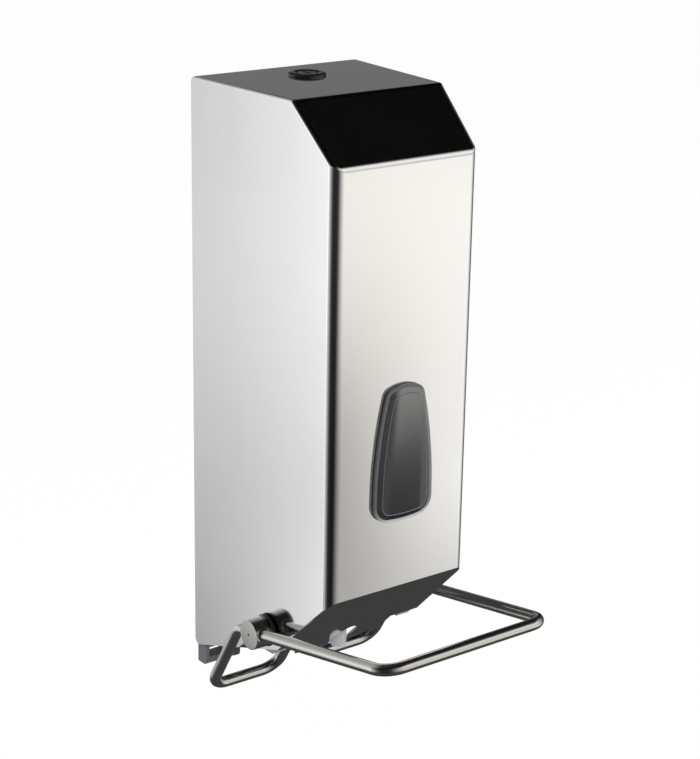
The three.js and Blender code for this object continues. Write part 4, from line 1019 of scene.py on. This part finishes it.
side_shade = levels_up(
    (0.25, 0.56), (0.287, 0.53), (0.306, 0.36), (0.325, 0.285), (0.379, 0.268), (0.403, 0.311),
    (0.45, 0.3), (0.55, 0.0),
)
shaded_rear = levels_round(
    (-180, 0.0), (-160, 1.0), (-140.3, 1.0), (-138.9, 0.71), (-137.4, 0.24), (-136.5, 0.0),
)
rear_shade = levels_up((0.25, 0.93), (0.52, 0.93), (0.565, 0.0))
behind = levels_round((128, 0.0), (136, 1.0))
in_front = levels_round((-66, 0.0), (-50, 1.0), (100, 1.0), (120, 0.0))
cards = levels_round(
    (-140, 1.0), (-138, 1.03), (-136, 0.98), (-133.5, 1.7), (-131, 1.5), (-128.5, 0.9),
    (-120, 0.7), (-108, 0.48), (-95, 0.18), (-83, 0.055), (-72, 0.02), (-39, 0.028),
    (-28, 0.086), (-17.6, 0.26), (-7, 0.456), (4.6, 0.66), (16, 0.87), (28, 1.0), (55, 1.0),
    (71, 0.76), (91.6, 0.245), (110, 0.05), (134, 0.02), (139, 1.0),
)
ground = levels_up((0.18, 0.046), (0.24, 0.0))
left_rear = levels_round((-180, 1.0), (-136, 1.0), (-110, 0.0))
left_rear_card = levels_up((0.46, 0.0), (0.56, 0.4), (0.84, 0.34), (0.92, 0.04))
front_light = front_card * (1 - front_shade * shaded_left)
side_light = side_card * (1 - side_shade * shaded_rear) * (1 - rear_shade * behind)
card_strength = 1.02
panel_light = (side_light + in_front * (front_light - side_light)) * cards * card_strength
studio_level = panel_light + ground + left_rear * left_rear_card
warm = levels_round(
    (-60, (1, 1, 1)), (10, (1, 0.972, 0.925)), (38, (1, 0.972, 0.925)), (42, (1, 0.985, 0.955)),
    (90, (1, 1, 1)),
)
studio_light = bench.node("ShaderNodeBackground", sockets={"Color": warm, "Strength": studio_level})
soft_light = bench.node("ShaderNodeBackground", sockets={"Color": (1, 1, 1, 1), "Strength": 0.55})
white_wall = bench.node("ShaderNodeBackground", sockets={"Color": (1, 1, 1, 1), "Strength": 1.0})
mirrored = bench.node("ShaderNodeLightPath", out="Is Glossy Ray")
lit = bench.node(
    "ShaderNodeMixShader", sockets={0: straight_rays(bench), 1: soft_light, 2: white_wall},
)
room = bench.node("ShaderNodeMixShader", sockets={0: mirrored, 1: lit, 2: studio_light})
bench.node("ShaderNodeOutputWorld", sockets={"Surface": room})

for name, spot, size, power in (
    ("key_lamp", (-1.3, -1.5, 1.5), 1.3, 11), ("fill_lamp", (1.6, -1.1, 0.5), 1.1, 6),
):
    let_go()
    bpy.ops.object.light_add(type="AREA", location=spot)
    lamp = bpy.context.object
    lamp.name = name
    lamp.data.shape = "DISK"
    lamp.data.size = size
    lamp.data.energy = power
    lamp.rotation_mode = "QUATERNION"
    lamp.rotation_quaternion = (-Vector(spot)).to_track_quat("-Z", "Y")
    lamp.visible_glossy = False

# Camera. It stands at the height and side of the picture, with its focal length for a long side
# of 36 mm.
yaw, pitch, roll = 0.6451, 0.3236, 0.0183
ahead = Vector((math.sin(yaw) * math.cos(pitch), math.cos(yaw) * math.cos(pitch), -math.sin(pitch)))
camera_data = bpy.data.cameras.new("camera")
camera_data.lens = 94.13
camera_data.sensor_width = 36
camera = add_object("camera", camera_data)
camera.location = (-0.5537, -0.8027, 0.3151)
camera.rotation_mode = "QUATERNION"
camera.rotation_quaternion = ahead.to_track_quat("-Z", "Y") @ Quaternion((0, 0, 1), roll)
bpy.context.scene.camera = camera
view_settings = bpy.context.scene.view_settings
view_settings.view_transform = "Standard"
